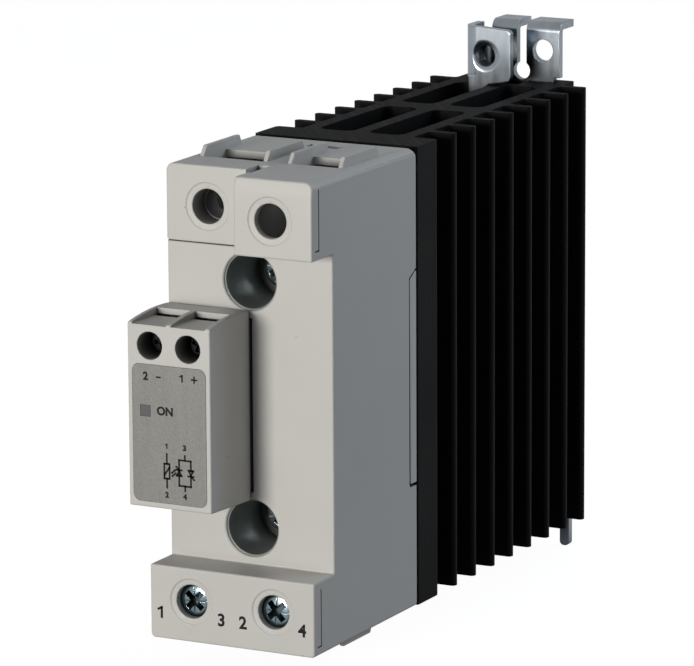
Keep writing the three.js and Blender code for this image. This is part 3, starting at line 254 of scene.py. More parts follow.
tinted = toned(drawn_lines, given["Colour"], factor)
patch = calc(drawn_lines, "SUBTRACT", cloud.outputs["Fac"], 0.5)
uneven = calc(drawn_lines, "MULTIPLY_ADD", patch, given["Unevenness"], given["Roughness"])
lined = calc(drawn_lines, "MULTIPLY_ADD", centred, given["Unevenness"], uneven)
plug(out, {"Colour": tinted, "Roughness": lined, "Height": lines.outputs["Fac"]})

anodised, tree, spot, shader = new_material("black_anodised")
turned_spot = add(tree, "ShaderNodeMapping", {"Vector": spot, "Rotation": (0.0, 0.0, math.radians(52))})
stretched = add(tree, "ShaderNodeMapping", {"Vector": turned_spot, "Scale": (50.0, 2400.0, 1.0)})
saw = add(tree, "ShaderNodeTexNoise", {
    "Vector": stretched, "Scale": 1.0, "Detail": 4.0, "Roughness": 0.65,
})
parts = add(tree, "ShaderNodeSeparateXYZ", {"Vector": spot})
end_height = 0.04498
from_middle = calc(tree, "ABSOLUTE", parts.outputs["Z"])
is_end = calc(tree, "GREATER_THAN", from_middle, end_height)
die = fill_group(tree, drawn_lines, {
    "Vector": spot, "Stretch": (1500.0, 1500.0, 9.0), "Colour": (0.0048, 0.0048, 0.0052, 1.0),
    "Contrast": 0.6, "Roughness": 0.5, "Unevenness": 0.16,
})
streak = add(tree, "ShaderNodeMapRange", {
    "Value": saw.outputs["Fac"], "From Min": 0.5, "From Max": 0.78, "To Min": 0.0, "To Max": 1.0,
})
cut = add(tree, "ShaderNodeMix", {
    0: streak, 6: (0.004, 0.004, 0.0042, 1.0), 7: (0.04, 0.04, 0.04, 1.0),
}, data_type="RGBA")
colour = add(tree, "ShaderNodeMix", {
    0: is_end, 6: die.outputs["Colour"], 7: cut.outputs[2],
}, data_type="RGBA")
rough = add(tree, "ShaderNodeMix", {0: is_end, 2: die.outputs["Roughness"], 3: 0.62})
plug(shader, {"Base Color": colour.outputs[2], "Roughness": rough, "Specular IOR Level": 0.07})
relief = add(tree, "ShaderNodeMix", {0: is_end, 2: die.outputs["Height"], 3: saw.outputs["Fac"]})
surface(tree, shader, relief, 0.25, 0.00005, 0.0002)


def arc(centre_u, centre_v, radius, first, last, steps=8):
    turns = [math.radians(first + (last - first) * i / steps) for i in range(steps + 1)]
    return [(centre_u + radius * math.cos(t), centre_v + radius * math.sin(t)) for t in turns]


def rounded(u0, u1, v0, v1, radius, steps=8):
    left, low, far, high = u0 + radius, v0 + radius, u1 - radius, v1 - radius
    return (
        arc(far, low, radius, -90, 0, steps) + arc(far, high, radius, 0, 90, steps)
        + arc(left, high, radius, 90, 180, steps) + arc(left, low, radius, 180, 270, steps)
    )


def fill_section(section, loops, is_fin):
    edges = []
    for loop in loops:
        corners = [section.verts.new(at(x, y, 0.0)) for x, y in loop]
        edges += [section.edges.new((corners[i - 1], corners[i])) for i in range(len(corners))]
    layer = section.faces.layers.int.get("fin") or section.faces.layers.int.new("fin")
    filled = bmesh.ops.triangle_fill(section, use_beauty=True, edges=edges)["geom"]
    for face in (item for item in filled if isinstance(item, bmesh.types.BMFace)):
        face[layer] = is_fin
        face.normal_update()
        if face.normal.z < 0:
            face.normal_flip()


half_width, sink_front, base_rear, web, last_fin, length = 17.5, 34.7, 43.9, 12.0, 111.5, 90.0
base_chamfer, base_corner, spine_corner = 0.3, 1.0, 0.6
fin_count, fin_thickness, fin_tip, fin_root = 8, 1.8, 0.75, 0.9
fin_pitch = (last_fin - base_rear) / fin_count
slot_mouth, slot_half, spring_groove = 6.9, 9.1, 3.2
lip, slot_floor, groove_floor = 115.8, 113.7, 108.9

# The right half of the spine's section, from the front of its base round to the spring's groove
side = [(half_width - base_chamfer, sink_front), (half_width, sink_front + base_chamfer)]
side += arc(half_width - base_corner, base_rear - base_corner, base_corner, 0, 90)
side += arc(web + fin_root, base_rear + fin_root, fin_root, 270, 180)
side += arc(web - spine_corner, rail_seat - spine_corner, spine_corner, 0, 90)
side += [(slot_mouth, rail_seat), (slot_mouth, lip), (slot_half, lip), (slot_half, slot_floor)]
side += [(spring_groove, slot_floor), (spring_groove, groove_floor)]
core = side + [(-x, y) for x, y in reversed(side)]
chamber_inner, chamber_outer, chamber_corner = 1.5, 9.1, 2.2
chamber_x = ((chamber_inner, chamber_outer), (-chamber_outer, -chamber_inner))
chamber_y = ((44.6, 74.0), (79.6, 106.6))
chambers = [rounded(*across, *along_y, chamber_corner) for across in chamber_x for along_y in chamber_y]

# The first fin behind the base, which the tree repeats
fin_rear = base_rear + fin_pitch
fin_front = fin_rear - fin_thickness
fin = arc(web + fin_root, fin_front - fin_root, fin_root, 180, 90)
fin += arc(half_width - fin_tip, fin_front + fin_tip, fin_tip, -90, 0)
fin += arc(half_width - fin_tip, fin_rear - fin_tip, fin_tip, 0, 90)
fin += arc(web + fin_root, fin_rear + fin_root, fin_root, -90, -180)
section = bmesh.new()
fill_section(section, [core] + chambers, 0)
fill_section(section, [fin], 1)
fill_section(section, [[(-x, y) for x, y in reversed(fin)]], 1)
heatsink = linked("finned_heatsink", bpy.data.meshes.new("finned_heatsink"))
section.to_mesh(heatsink.data)
section.free()


def geometry_tree(name, inputs):
    tree = bpy.data.node_groups.new(name, "GeometryNodeTree")
    tree.interface.new_socket("Geometry", in_out="INPUT", socket_type="NodeSocketGeometry")
    for label, kind, value in inputs:
        tree.interface.new_socket(label, in_out="INPUT", socket_type=kind).default_value = value
    tree.interface.new_socket("Geometry", in_out="OUTPUT", socket_type="NodeSocketGeometry")
    return tree, tree.nodes.new("NodeGroupInput").outputs, tree.nodes.new("NodeGroupOutput")


def joined(tree, *shapes):
    together = add(tree, "GeometryNodeJoinGeometry")
    for shape in shapes:
        plug(together, {0: shape})
    return together


def evaluated_mesh(piece):
    mesh = bpy.data.meshes.new_from_object(piece.evaluated_get(bpy.context.evaluated_depsgraph_get()))
    piece.modifiers.clear()
    piece.data = mesh
    return piece


def grown(piece, tree, values):
    modifier = piece.modifiers.new("grow", "NODES")
    modifier.node_group = tree
    for item in tree.interface.items_tree:
        if item.in_out == "INPUT" and item.name in values:
            modifier[item.identifier] = values[item.name]
    return evaluated_mesh(piece)


# Smooth shading that breaks at corners and keeps broad faces flat
def smoothed(piece, degrees=32):
    piece.data.shade_smooth()
    piece.data.set_sharp_from_angle(angle=math.radians(degrees))
    weighted = piece.modifiers.new("flat", "WEIGHTED_NORMAL")
    weighted.keep_sharp = True
    weighted.weight = 100
    return evaluated_mesh(piece)


extrusion, given, out = geometry_tree("finned_extrusion", [
    ("Fins", "NodeSocketInt", 8), ("Pitch", FLOAT, 0.008), ("Length", FLOAT, 0.09),
])
tagged = add(extrusion, "GeometryNodeInputNamedAttribute", {"Name": "fin"}, data_type="INT")
parted = add(extrusion, "GeometryNodeSeparateGeometry", {
    "Geometry": given["Geometry"], "Selection": tagged.outputs["Attribute"],
}, domain="FACE")
stride = add(extrusion, "ShaderNodeCombineXYZ", {"Y": given["Pitch"]})
row = add(extrusion, "GeometryNodeMeshLine", {"Count": given["Fins"], "Offset": stride}, mode="OFFSET")
comb = add(extrusion, "GeometryNodeInstanceOnPoints", {
    "Points": row, "Instance": parted.outputs["Selection"],
})
plan = joined(extrusion, comb, parted.outputs["Inverted"])
real = add(extrusion, "GeometryNodeRealizeInstances", {"Geometry": plan})
rise = add(extrusion, "ShaderNodeCombineXYZ", {"Z": given["Length"]})
pulled = add(extrusion, "GeometryNodeExtrudeMesh", {
    "Mesh": real, "Offset": rise, "Offset Scale": 1.0, "Individual": False,
})
foot = add(extrusion, "GeometryNodeFlipFaces", {"Mesh": real})
whole = joined(extrusion, pulled.outputs["Mesh"], foot)
welded = add(extrusion, "GeometryNodeMergeByDistance", {"Geometry": whole, "Distance": 0.000001})
coated = add(extrusion, "GeometryNodeSetMaterial", {"Geometry": welded, "Material": anodised})
plug(out, {0: coated})
grown(heatsink, extrusion, {"Fins": fin_count, "Pitch": fin_pitch * 0.001, "Length": length * 0.001})
smoothed(heatsink)
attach(heatsink, "relay")
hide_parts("heatsink")


# Housing cover: one light grey moulding with a terminal block at each end of its front.
# It is moulded in fine-textured plastic, open at the rear, and snaps on to the frame behind it.
# Wells, access holes, wire pockets with guide ribs and the fine lines on its sides are all moulded in.
def solid_from(shape):
    bmesh.ops.recalc_face_normals(shape, faces=shape.faces)
    mesh = bpy.data.meshes.new("solid")
    shape.to_mesh(mesh)
    shape.free()
    return linked("solid", mesh)


def prism(outline, axis, low, high):
    place = {"x": lambda u, v, w: at(w, u, v), "y": lambda u, v, w: at(u, w, v), "z": at}[axis]
    shape = bmesh.new()
    ends = [[shape.verts.new(place(u, v, w)) for u, v in outline] for w in (low, high)]
    for i in range(len(outline)):
        shape.faces.new((ends[0][i - 1], ends[0][i], ends[1][i], ends[1][i - 1]))
    for end in ends:
        shape.faces.new(end)
    return solid_from(shape)


def box(x0, x1, y0, y1, z0, z1):
    return prism([(x0, y0), (x1, y0), (x1, y1), (x0, y1)], "z", z0, z1)


def turned(outline, x, z, sides=72):
    shape = bmesh.new()
    rings = []
    for radius, y in outline:
        turns = [math.tau * i / sides for i in range(sides if radius > 0 else 1)]
        rings.append(
            [shape.verts.new(at(x + radius * math.cos(t), y, z + radius * math.sin(t))) for t in turns]
        )
    for ring, after in zip(rings, rings[1:] + rings[:1]):
        for i in range(sides):
            corners = [ring[i % len(ring)], ring[(i + 1) % len(ring)]]
            corners += [after[(i + 1) % len(after)], after[i % len(after)]]
            corners = list(dict.fromkeys(corners))
            if len(corners) > 2:
                shape.faces.new(corners)
    return solid_from(shape)


def bar(diameter, y0, y1, x, z, sides=72):
    return turned([(0, y0), (diameter / 2, y0), (diameter / 2, y1), (0, y1)], x, z, sides)


def combined(kept, others, operation):
    for other in others:
        join = kept.modifiers.new("join", "BOOLEAN")
        join.operation, join.solver, join.object = operation, "MANIFOLD", other
    evaluated_mesh(kept)
    for other in others:
        bpy.data.objects.remove(other)
    return kept


def cleaned(piece):
    shape = bmesh.new()
    shape.from_mesh(piece.data)
    bmesh.ops.remove_doubles(shape, verts=shape.verts, dist=0.0000005)
    bmesh.ops.dissolve_limit(shape, angle_limit=math.radians(0.4), verts=shape.verts, edges=shape.edges)
    shape.to_mesh(piece.data)
    shape.free()
    return piece


def softened(piece, radius, degrees=40):
    bevel = piece.modifiers.new("soft", "BEVEL")
    bevel.width, bevel.segments, bevel.limit_method = radius * 0.001, 3, "ANGLE"
    bevel.angle_limit = math.radians(degrees)
    bevel.use_clamp_overlap = False
    return evaluated_mesh(piece)


def dressed(piece, name, material, body, slot, *nodes):
    piece.name = piece.data.name = name
    piece.data.materials.clear()
    piece.data.materials.append(material)
    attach(piece, body)
    if nodes:
        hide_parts(*nodes)
    return piece


# Moulded plastic: faint clouding, a fine spark-eroded texture and a few specks of dust
moulded_plastic, given, out = new_group("moulded_plastic", [
    ("Vector", VECTOR, (0, 0, 0)), ("Colour", COLOUR, (0.5, 0.5, 0.5, 1)), ("Clouding", FLOAT, 0.1),
    ("Dust", FLOAT, 0.35), ("Roughness", FLOAT, 0.45),
], [("Colour", COLOUR), ("Roughness", FLOAT), ("Height", FLOAT)])
cloud = add(
    moulded_plastic, "ShaderNodeTexNoise", {"Vector": given["Vector"], "Scale": 70.0, "Detail": 4.0}
)
grain = add(moulded_plastic, "ShaderNodeTexNoise", {
    "Vector": given["Vector"], "Scale": 4200.0, "Detail": 2.0,
})
specks = add(moulded_plastic, "ShaderNodeTexVoronoi", {"Vector": given["Vector"], "Scale": 210.0})
chance = add(moulded_plastic, "ShaderNodeSeparateColor", {"Color": specks.outputs["Color"]})
small = add(moulded_plastic, "ShaderNodeMapRange", {
    "Value": specks.outputs["Distance"], "From Min": 0.03, "From Max": 0.055,
    "To Min": 1.0, "To Max": 0.0,
})
picked = calc(moulded_plastic, "LESS_THAN", chance.outputs["Red"], given["Dust"])
speck = calc(moulded_plastic, "MULTIPLY", small, picked)
dim = calc(moulded_plastic, "MULTIPLY_ADD", speck, -0.5, 1.0)
patch = calc(moulded_plastic, "SUBTRACT", cloud.outputs["Fac"], 0.5)
shift = calc(moulded_plastic, "MULTIPLY_ADD", patch, given["Clouding"], dim)
tinted = toned(moulded_plastic, given["Colour"], shift)
uneven = calc(moulded_plastic, "MULTIPLY_ADD", patch, 0.25, given["Roughness"])
plug(out, {"Colour": tinted, "Roughness": uneven, "Height": grain.outputs["Fac"]})


# Painted shade: colour darkened deep in holes and slots, by how little open space a point sees nearby
deep_shade, given, out = new_group("deep_shade", [
    ("Colour", COLOUR, (0.5, 0.5, 0.5, 1)), ("Reach", FLOAT, 0.008), ("Open", FLOAT, 0.45),
    ("Darkest", FLOAT, 0.05),
], [("Colour", COLOUR)])
sky = add(deep_shade, "ShaderNodeAmbientOcclusion", {"Distance": given["Reach"]}, samples=12)
depth = add(deep_shade, "ShaderNodeMapRange", {
    "Value": sky.outputs["AO"], "From Min": 0.12, "From Max": given["Open"],
    "To Min": given["Darkest"], "To Max": 1.0,
})
tinted = toned(deep_shade, given["Colour"], depth)
plug(out, {"Colour": tinted})


def painted_recess_shade(tree, colour, reach, wide_open, darkest):
    return fill_group(tree, deep_shade, {
        "Colour": colour, "Reach": reach, "Open": wide_open, "Darkest": darkest,
    }).outputs["Colour"]


# Painted edge highlight: colour a little paler wherever the surface turns sharply
painted_edge_highlight, given, out = new_group("painted_edge_highlight", [
    ("Colour", COLOUR, (0.5, 0.5, 0.5, 1)), ("Width", FLOAT, 0.0002), ("Brightest", FLOAT, 1.22),
], [("Colour", COLOUR)])
bent = add(painted_edge_highlight, "ShaderNodeBevel", {"Radius": given["Width"]}, samples=4)
straight = add(painted_edge_highlight, "ShaderNodeNewGeometry")
alike = add(painted_edge_highlight, "ShaderNodeVectorMath", {
    0: bent, 1: straight.outputs["Normal"],
}, operation="DOT_PRODUCT")
paler = add(painted_edge_highlight, "ShaderNodeMapRange", {
    "Value": alike.outputs["Value"], "From Min": 0.99, "From Max": 0.85,
    "To Min": 1.0, "To Max": given["Brightest"],
})
tinted = toned(painted_edge_highlight, given["Colour"], paler)
plug(out, {"Colour": tinted})


def moulding(name, colour, roughness, clouding, dust, relief, depth, edge):
    material, tree, spot, shader = new_material(name)
    moulded = fill_group(tree, moulded_plastic, {
        "Vector": spot, "Colour": (*colour, 1.0), "Roughness": roughness, "Clouding": clouding,
        "Dust": dust,
    })
    plug(shader, {"Base Color": moulded.outputs["Colour"], "Roughness": moulded.outputs["Roughness"]})
    surface(tree, shader, moulded.outputs["Height"], relief, depth, edge)
    return material, tree, moulded, shader


def plastic(name, colour, roughness=0.45, clouding=0.1, reach=0.008):
    edge, relief, relief_depth = 0.0002, 0.12, 0.00004
    material, tree, moulded, shader = moulding(
        name, colour, roughness, clouding, 0.2, relief, relief_depth, edge
    )
    # Painted shade deep in holes and slots, then a painted highlight where the surface turns sharply
    shaded = painted_recess_shade(tree, moulded.outputs["Colour"], reach, 0.58, 0.09)
    worn = fill_group(tree, painted_edge_highlight, {"Colour": shaded, "Width": edge, "Brightest": 1.22})
    plug(shader, {"Base Color": worn.outputs["Colour"], "Specular IOR Level": 0.45})
    return material


housing_grey = plastic("housing_grey", (0.545, 0.535, 0.508))
lower_hole, upper_hole, lower_well, upper_well, terminal_x = 21.3, 68.7, 7.8, 82.2, 8.75
top, step_top, step_foot, block_face, left_face = 90, 14.3, 75.2, -8.2, -0.25


def side_outline(front, lean):
    return (
        [(block_face, 0)] + arc(34.0, 0.4, 0.4, -90, 0) + arc(32.2, 87.8, 2.2, 0, 90)
        + [(front + lean, top), (front, 87.4), (front, step_foot), (0, step_foot)]
        + [(0, step_top), (block_face, step_top)]
    )


cover = prism(side_outline(left_face, 0.0), "x", -half_width, half_width)
cover = combined(cover, [prism(side_outline(block_face, 0.5), "x", 1.2, half_width)], "UNION")
envelope = arc(16.8, 0.7, 0.7, -90, 0) + arc(15.9, 88.4, 1.6, 0, 90)
envelope += arc(-15.9, 88.4, 1.6, 90, 180) + arc(-16.6, 0.9, 0.9, 180, 270)
cover = combined(cover, [prism(envelope, "y", -9.0, 36.0)], "INTERSECT")
softened(cleaned(cover), 0.35)

# Hollow inside, with 1.8 mm walls, and a hollow in each terminal block
inner_half, inner_foot, inner_top, block_hollow = 15.7, 1.8, 88.2, (-6.4, 2.8)
hollows = [
    box(-inner_half, inner_half, 1.8, 35.4, inner_foot, inner_top),
    box(3.0, inner_half, *block_hollow, 77.0, inner_top),
]
hollows += [box(x - 6.3, x + 6.3, *block_hollow, 2.1, 12.5) for x in (-terminal_x, terminal_x)]
combined(cover, hollows, "DIFFERENCE")

# Inner walls: tubes round the wells and the access holes, a floor under the upper terminals and
# a partition between the two of each end
well_tube, hole_tube, wall_front, wall_rear = 9.8, 13.4, 0.9, 22.0
inner_walls = [bar(well_tube, -7.3, -2.7, x, lower_well) for x in (-terminal_x, terminal_x)]
inner_walls += [bar(well_tube, wall_front, 9.0, -terminal_x, upper_well)]
inner_walls += [bar(hole_tube, wall_front, 15.1, 0, z) for z in (lower_hole, upper_hole)]
inner_walls += [
    box(-16.6, 16.6, wall_front, wall_rear, 74.7, 76.1),
    box(1.2, 3.0, wall_front, wall_rear, 75.4, 89.1), box(-0.7, 0.7, wall_front, 13.9, 0.9, 12.2),
]
combined(cover, inner_walls, "UNION")


# Guide ribs beside the wire pockets above and the wire entries below, with rounded ends
rib_thickness, pocket_front = 0.85, 8.3
upper_ribs, lower_ribs = (-14.925, -1.375, 3.825, 14.425), (-14.925, -3.425, 2.575, 14.425)


def guide_rib(x, front, rear, foot, way):
    outline = [(front, foot - way * 0.9), (rear, foot - way * 0.9), (rear, foot)]
    outline += [(v, foot + way * w) for v, w in arc(rear - 1.15, 1.5, 0.4, 25, 90, 3)]
    outline += [(v, foot + way * w) for v, w in arc(front + 1.5, 1.5, 0.4, 90, 150, 3)]
    outline += [(front, foot + way * 0.15)]
    return softened(prism(outline, "x", x, x + rib_thickness), 0.14, 50)


ribs = [guide_rib(x, pocket_front, 23.4, top, 1) for x in upper_ribs]
ribs += [guide_rib(x, 6.6, 19.8, 0.0, -1) for x in lower_ribs]
combined(cover, ribs, "UNION")


# The mouth of a screw well: a shallow ring sunk round it and a small chamfer inside
def mouth(x, z, front, bore, ring):
    bore, ring = bore / 2, ring / 2
    return turned([
        (0, front - 1), (ring + 0.1, front - 1), (ring + 0.1, front), (ring - 0.2, front + 0.22),
        (bore + 0.28, front + 0.24), (bore + 0.1, front + 0.32), (bore, front + 0.5), (0, front + 0.5),
    ], x, z)


# Lower wells with the wire entries below them, upper wells, and the two access holes
past = 1.0
lower_bore, lower_ring, lower_floor = 6.5, 8.9, -3.9
lower_throat, throat_front, throat_floor = 5.6, -6.5, -1.7
entry_half, entry_front, entry_rear, entry_corner, entry_roof = 4.3, 4.4, 12.4, 1.6, 2.8
cuts = []
for x in (-terminal_x, terminal_x):
    entry = rounded(x - entry_half, x + entry_half, entry_front, entry_rear, entry_corner)
    cuts += [
        mouth(x, lower_well, block_face, lower_bore, lower_ring),
        bar(lower_bore, block_face - past, lower_floor, x, lower_well),
        bar(lower_throat, throat_front, throat_floor, x, lower_well),
        prism(entry, "z", -past, entry_roof),
    ]
upper_bore, upper_ring, upper_throat, left_floor, right_floor = 6.6, 9.2, 6.0, 4.6, -5.4
cuts += [
    mouth(-terminal_x, upper_well, left_face, upper_bore, upper_ring),
    bar(upper_bore, -1.4, left_floor, -terminal_x, upper_well),
    bar(upper_throat, 0, 10.0, -terminal_x, upper_well),
    mouth(terminal_x, upper_well, block_face, upper_bore, upper_ring),
    bar(upper_bore, block_face - past, right_floor, terminal_x, upper_well),
]
hole_line = [(0, -1), (6.85, -1), (5.6, 0.25), (5.6, 16.1), (0, 16.1)]
cuts += [turned(hole_line, 0, z, 96) for z in (lower_hole, upper_hole)]

# Wire pockets between the ribs, windows for the snaps, and the opening behind the control block
pocket_rear, undercut_rear, pocket_floor, undercut_top = 17.0, 20.5, 86.9, 88.5
for left_rib, right_rib in (upper_ribs[:2], upper_ribs[2:]):
    between = (left_rib + rib_thickness, right_rib)
    cuts += [
        box(*between, pocket_front, pocket_rear, pocket_floor, top + past),
        box(*between, pocket_front, undercut_rear, pocket_floor, undercut_top),
    ]
snap_window, snap_wall = (-2.0, 5.0, 26.0, 28.7), 2.8
cuts += [box(*snap_window, z, z + snap_wall) for z in (top - snap_wall, -past)]
cuts += [box(-16.7, 0.45, -1.4, 2.8, 28.2, 61.7)]

# Notches at the rear edge of the sides, and a fine hooked line near the front of each block
notch = [(35.4, 24.0), (35.4, 66.6), (34.0, 66.6), (31.2, 65.1)] + arc(31.9, 24.7, 0.7, 180, 270, 4)
line_width, line_y, hook_y = 0.35, -5.25, -6.9
for side in (-1, 1):
    cuts += [prism(notch, "x", *sorted((side * 14.7, side * 18.5)))]
    groove_x = sorted((side * 17.1, side * 18.5))
    for low, high in ((1.6, 12.7), (76.8, 88.4))[:2 if side > 0 else 1]:
        cuts += [box(*groove_x, line_y - line_width, line_y, low, high)]
        cuts += [box(*groove_x, hook_y, line_y, low, low + line_width)]
cuts += [box(-0.4, 2.15, -3.0, 4.4, 88.9, 91.0), box(-18.5, -17.2, -0.9, 0.5, 75.0, 75.6)]
combined(cover, cuts, "DIFFERENCE")
smoothed(cleaned(cover))
dressed(cover, "moulded_cover", housing_grey, "relay", "light_plastic", "housing_cover")


# Base frame: the inner moulding that carries the electronics and closes the cover from behind.
# It is the same grey plastic, rendered a little darker by painted shade that reaches further into its
# hollows; its side lugs show in the cover's rear notches and its two bosses are the floors of the access
# holes, on which the fixing screws bear.
frame_grey = plastic("frame_grey", (0.575, 0.565, 0.54), 0.5, reach=0.02)
frame_rear, frame_foot, frame_top, boss_front, snap_x = 34.4, 2.1, 87.9, 13.6, (-1.7, 4.7)
carrier = box(-15.4, 15.4, 31.0, frame_rear, frame_foot, frame_top)
lug_outline = [(34.5, 24.6), (34.5, 66.1), (34.1, 66.0), (31.75, 64.7)]
lug_outline += arc(32.3, 25.0, 0.4, 180, 270, 3)
lugs = softened(prism(lug_outline, "x", -17.4, 17.4), 0.15, 50)
grown_parts = [lugs]
grown_parts += [bar(10.6, boss_front, frame_rear, 0, z) for z in (lower_hole, upper_hole)]
grown_parts += [box(x - 4.0, x + 4.0, 14.2, frame_rear, 2.4, 12.2) for x in (-terminal_x, terminal_x)]
grown_parts += [
    box(*snap_x, 26.3, frame_rear, 86.1, frame_top), box(*snap_x, 26.3, 28.4, 86.1, 89.1),
    box(*snap_x, 26.3, frame_rear, frame_foot, 3.9), box(*snap_x, 26.3, 28.4, 0.9, 3.9),
]
combined(carrier, grown_parts, "UNION")
undercut = ((17.3, 31.5), (17.3, 31.95), (16.2, 34.05), (16.0, 34.05), (16.0, 31.5))
combined(carrier, [
    prism([(side * x, y) for x, y in undercut][::side], "z", 23.0, 68.0) for side in (-1, 1)
], "DIFFERENCE")
openings = [box(-12.0, 12.0, 30.0, 35.4, 28.5, 61.5)]
openings += [bar(4.6, 0, 35.4, 0, z) for z in (lower_hole, upper_hole)]
combined(carrier, openings, "DIFFERENCE")
smoothed(cleaned(carrier))
dressed(carrier, "carrier_frame", frame_grey, "relay", "dark_plastic", "base_frame")

# Slate-grey sleeves line the two access holes, down to the bosses
sleeve_slate = plastic("sleeve_slate", (0.25, 0.275, 0.265), 0.32)
sleeve_bore, sleeve_outside, sleeve_foot = 5.25, 5.58, boss_front - 0.02
sleeve_line = [(sleeve_bore, sleeve_foot), (sleeve_bore, 0.75), (5.33, 0.6)]
sleeve_line += [(sleeve_outside, 0.5), (sleeve_outside, sleeve_foot)]
for name, z in (("lower", lower_hole), ("upper", upper_hole)):
    sleeve = turned(sleeve_line, 0, z, 96)
    smoothed(sleeve)
    dressed(sleeve, "access_sleeve_" + name, sleeve_slate, "relay", "dark_plastic")


# Control block: a second moulding plugged into the cover's front, with the two control terminals.
# Its crowned top has three thin ribs, and between them ramps lead down into the wire slots.
# Its mouth at the top of the front lets a small screwdriver reach the screws.
block_front, block_back, block_left, block_bottom, block_top = -15.6, -0.3, -17.5, 27.4, 62.5
block_middle, control_z = block_left / 2, 58.25
control_x = (block_middle - 4.05, block_middle + 4.05)
ramp_x = ((block_left + 1.0, block_middle - 0.5), (block_middle + 0.5, -1.0))
rear_z, crest_z, front_z, crown_steps = block_top + 0.75, block_top + 1.35, block_top - 0.05, 16
crown = []
for i in range(crown_steps + 1):
    s = i / crown_steps
    bent_z = (1 - s) ** 2 * rear_z + 2 * s * (1 - s) * crest_z + s * s * front_z
    crown.append((block_back + (block_front - block_back) * s, bent_z))
profile = [(block_front, block_bottom), (block_back, block_bottom - 0.7)] + crown
control = softened(prism(profile, "x", block_left, 0.0), 0.3)
hollow = box(block_left + 1.5, -1.5, block_front + 2.0, 0.7, block_bottom + 1.5, block_top - 1.5)
ramps = [box(x0, x1, block_front - 1, -6.0, block_top - 0.35, 66) for x0, x1 in ramp_x]
combined(control, [hollow] + ramps, "DIFFERENCE")
spigot = box(-16.4, -0.3, -1.8, 2.1, 28.5, 61.4)
combined(spigot, [box(-16.0, -1.5, -2.8, 3.1, 29.2, 60.7)], "DIFFERENCE")
bosses = [bar(7.2, block_front + 1.0, -8.9, x, control_z) for x in control_x]
combined(control, [spigot] + bosses, "UNION")
screw_mouth = [
    (0, block_front - 1), (2.95, block_front - 1), (2.72, block_front), (2.6, block_front + 0.25),
    (2.6, -9.6), (0, -9.6),
]
cuts = []
for x in control_x:
    cuts += [turned(screw_mouth, x, control_z), bar(3.6, -11.2, -7.9, x, control_z)]
for x0, x1 in ramp_x:
    cuts += [box(x0, x1, -7.3, -6.0, 60.0, 66.0), box(x0, x1, -7.3, -4.0, 60.0, block_top - 0.2)]
window_x, window_z = block_left + 3.7, 45.86


# The outline of the label's recess, and, with a small gap, of the label itself
def label_outline(gap=0.0):
    return rounded(-16.6 + gap, -0.9 - gap, 28.45 + gap, 54.75 - gap, 1.5 - gap)


def window_opening(half=1.1, front=-16.6, rear=-12.6):
    return box(window_x - half, window_x + half, front, rear, window_z - half, window_z + half)


cuts += [prism(label_outline(), "y", block_front - 1, block_front + 0.3), window_opening()]
combined(control, cuts, "DIFFERENCE")
smoothed(cleaned(control))
dressed(control, "control_moulding", housing_grey, "relay", "light_plastic", "control_block")


# Label: thin silver-grey foil let into the control block, with a faint coarse sparkle.
# A plain lens stands in its window; the marks are printed in black on it and on the lower block.
foil, tree, spot, shader = new_material("silver_foil")
flakes = add(tree, "ShaderNodeTexVoronoi", {"Vector": spot, "Scale": 5500.0})
flake = add(tree, "ShaderNodeSeparateColor", {"Color": flakes.outputs["Color"]})
rolled = fill_group(tree, drawn_lines, {
    "Vector": spot, "Stretch": (600.0, 600.0, 40.0), "Colour": (0.205, 0.202, 0.190, 1.0),
    "Contrast": 0.2, "Roughness": 0.42, "Unevenness": 0.08,
})
tone = add(tree, "ShaderNodeMapRange", {"Value": flake.outputs["Red"], "To Min": 0.88, "To Max": 1.12})
tinted = toned(tree, rolled.outputs["Colour"], tone)
plug(shader, {"Base Color": tinted, "Roughness": rolled.outputs["Roughness"]})
surface(tree, shader, flake.outputs["Green"], 0.08, 0.00002, 0.00008)
shader.inputs["Metallic"].default_value = 0.35
foil_front, foil_rear = -15.66, -15.45
label = prism(label_outline(0.04), "y", foil_front, foil_rear)
combined(label, [window_opening()], "DIFFERENCE")
smoothed(cleaned(label))
dressed(label, "foil_label", foil, "relay", "label_foil", "control_label")

lens_grey = moulding("smoked_lens", (0.105, 0.108, 0.112), 0.28, 0.3, 0.35, 0.05, 0.00002, 0.0001)[0]
lens = softened(window_opening(1.06, -15.67, -13.1), 0.08)
smoothed(lens)
dressed(lens, "lamp_lens", lens_grey, "relay", "window_grey", "led_window")

ink, tree, spot, shader = new_material("black_ink")
worn = add(tree, "ShaderNodeTexNoise", {"Vector": spot, "Scale": 1500.0, "Detail": 3.0})
tint = add(tree, "ShaderNodeMapRange", {"Value": worn.outputs["Fac"], "To Min": 0.012, "To Max": 0.03})
plug(shader, {"Base Color": tint})
dull = add(tree, "ShaderNodeMapRange", {"Value": worn.outputs["Fac"], "To Min": 0.4, "To Max": 0.6})
plug(shader, {"Roughness": dull})
shader.inputs["Specular IOR Level"].default_value = 0.05


def lettered(words, x, z, height, front):
    curve = bpy.data.curves.new("mark", "FONT")
    capital_share = 0.69
    curve.body, curve.size, curve.extrude = words, height / capital_share * 0.001, 0.00001
    curve.offset = 0.00006 + height * 0.00002
    source = linked("mark", curve)
    mesh = bpy.data.meshes.new_from_object(source.evaluated_get(bpy.context.evaluated_depsgraph_get()))
    bpy.data.objects.remove(source)
    mesh.transform(Matrix.Translation(at(x, front, z)) @ Matrix.Rotation(math.radians(90), 4, "X"))
    return mesh


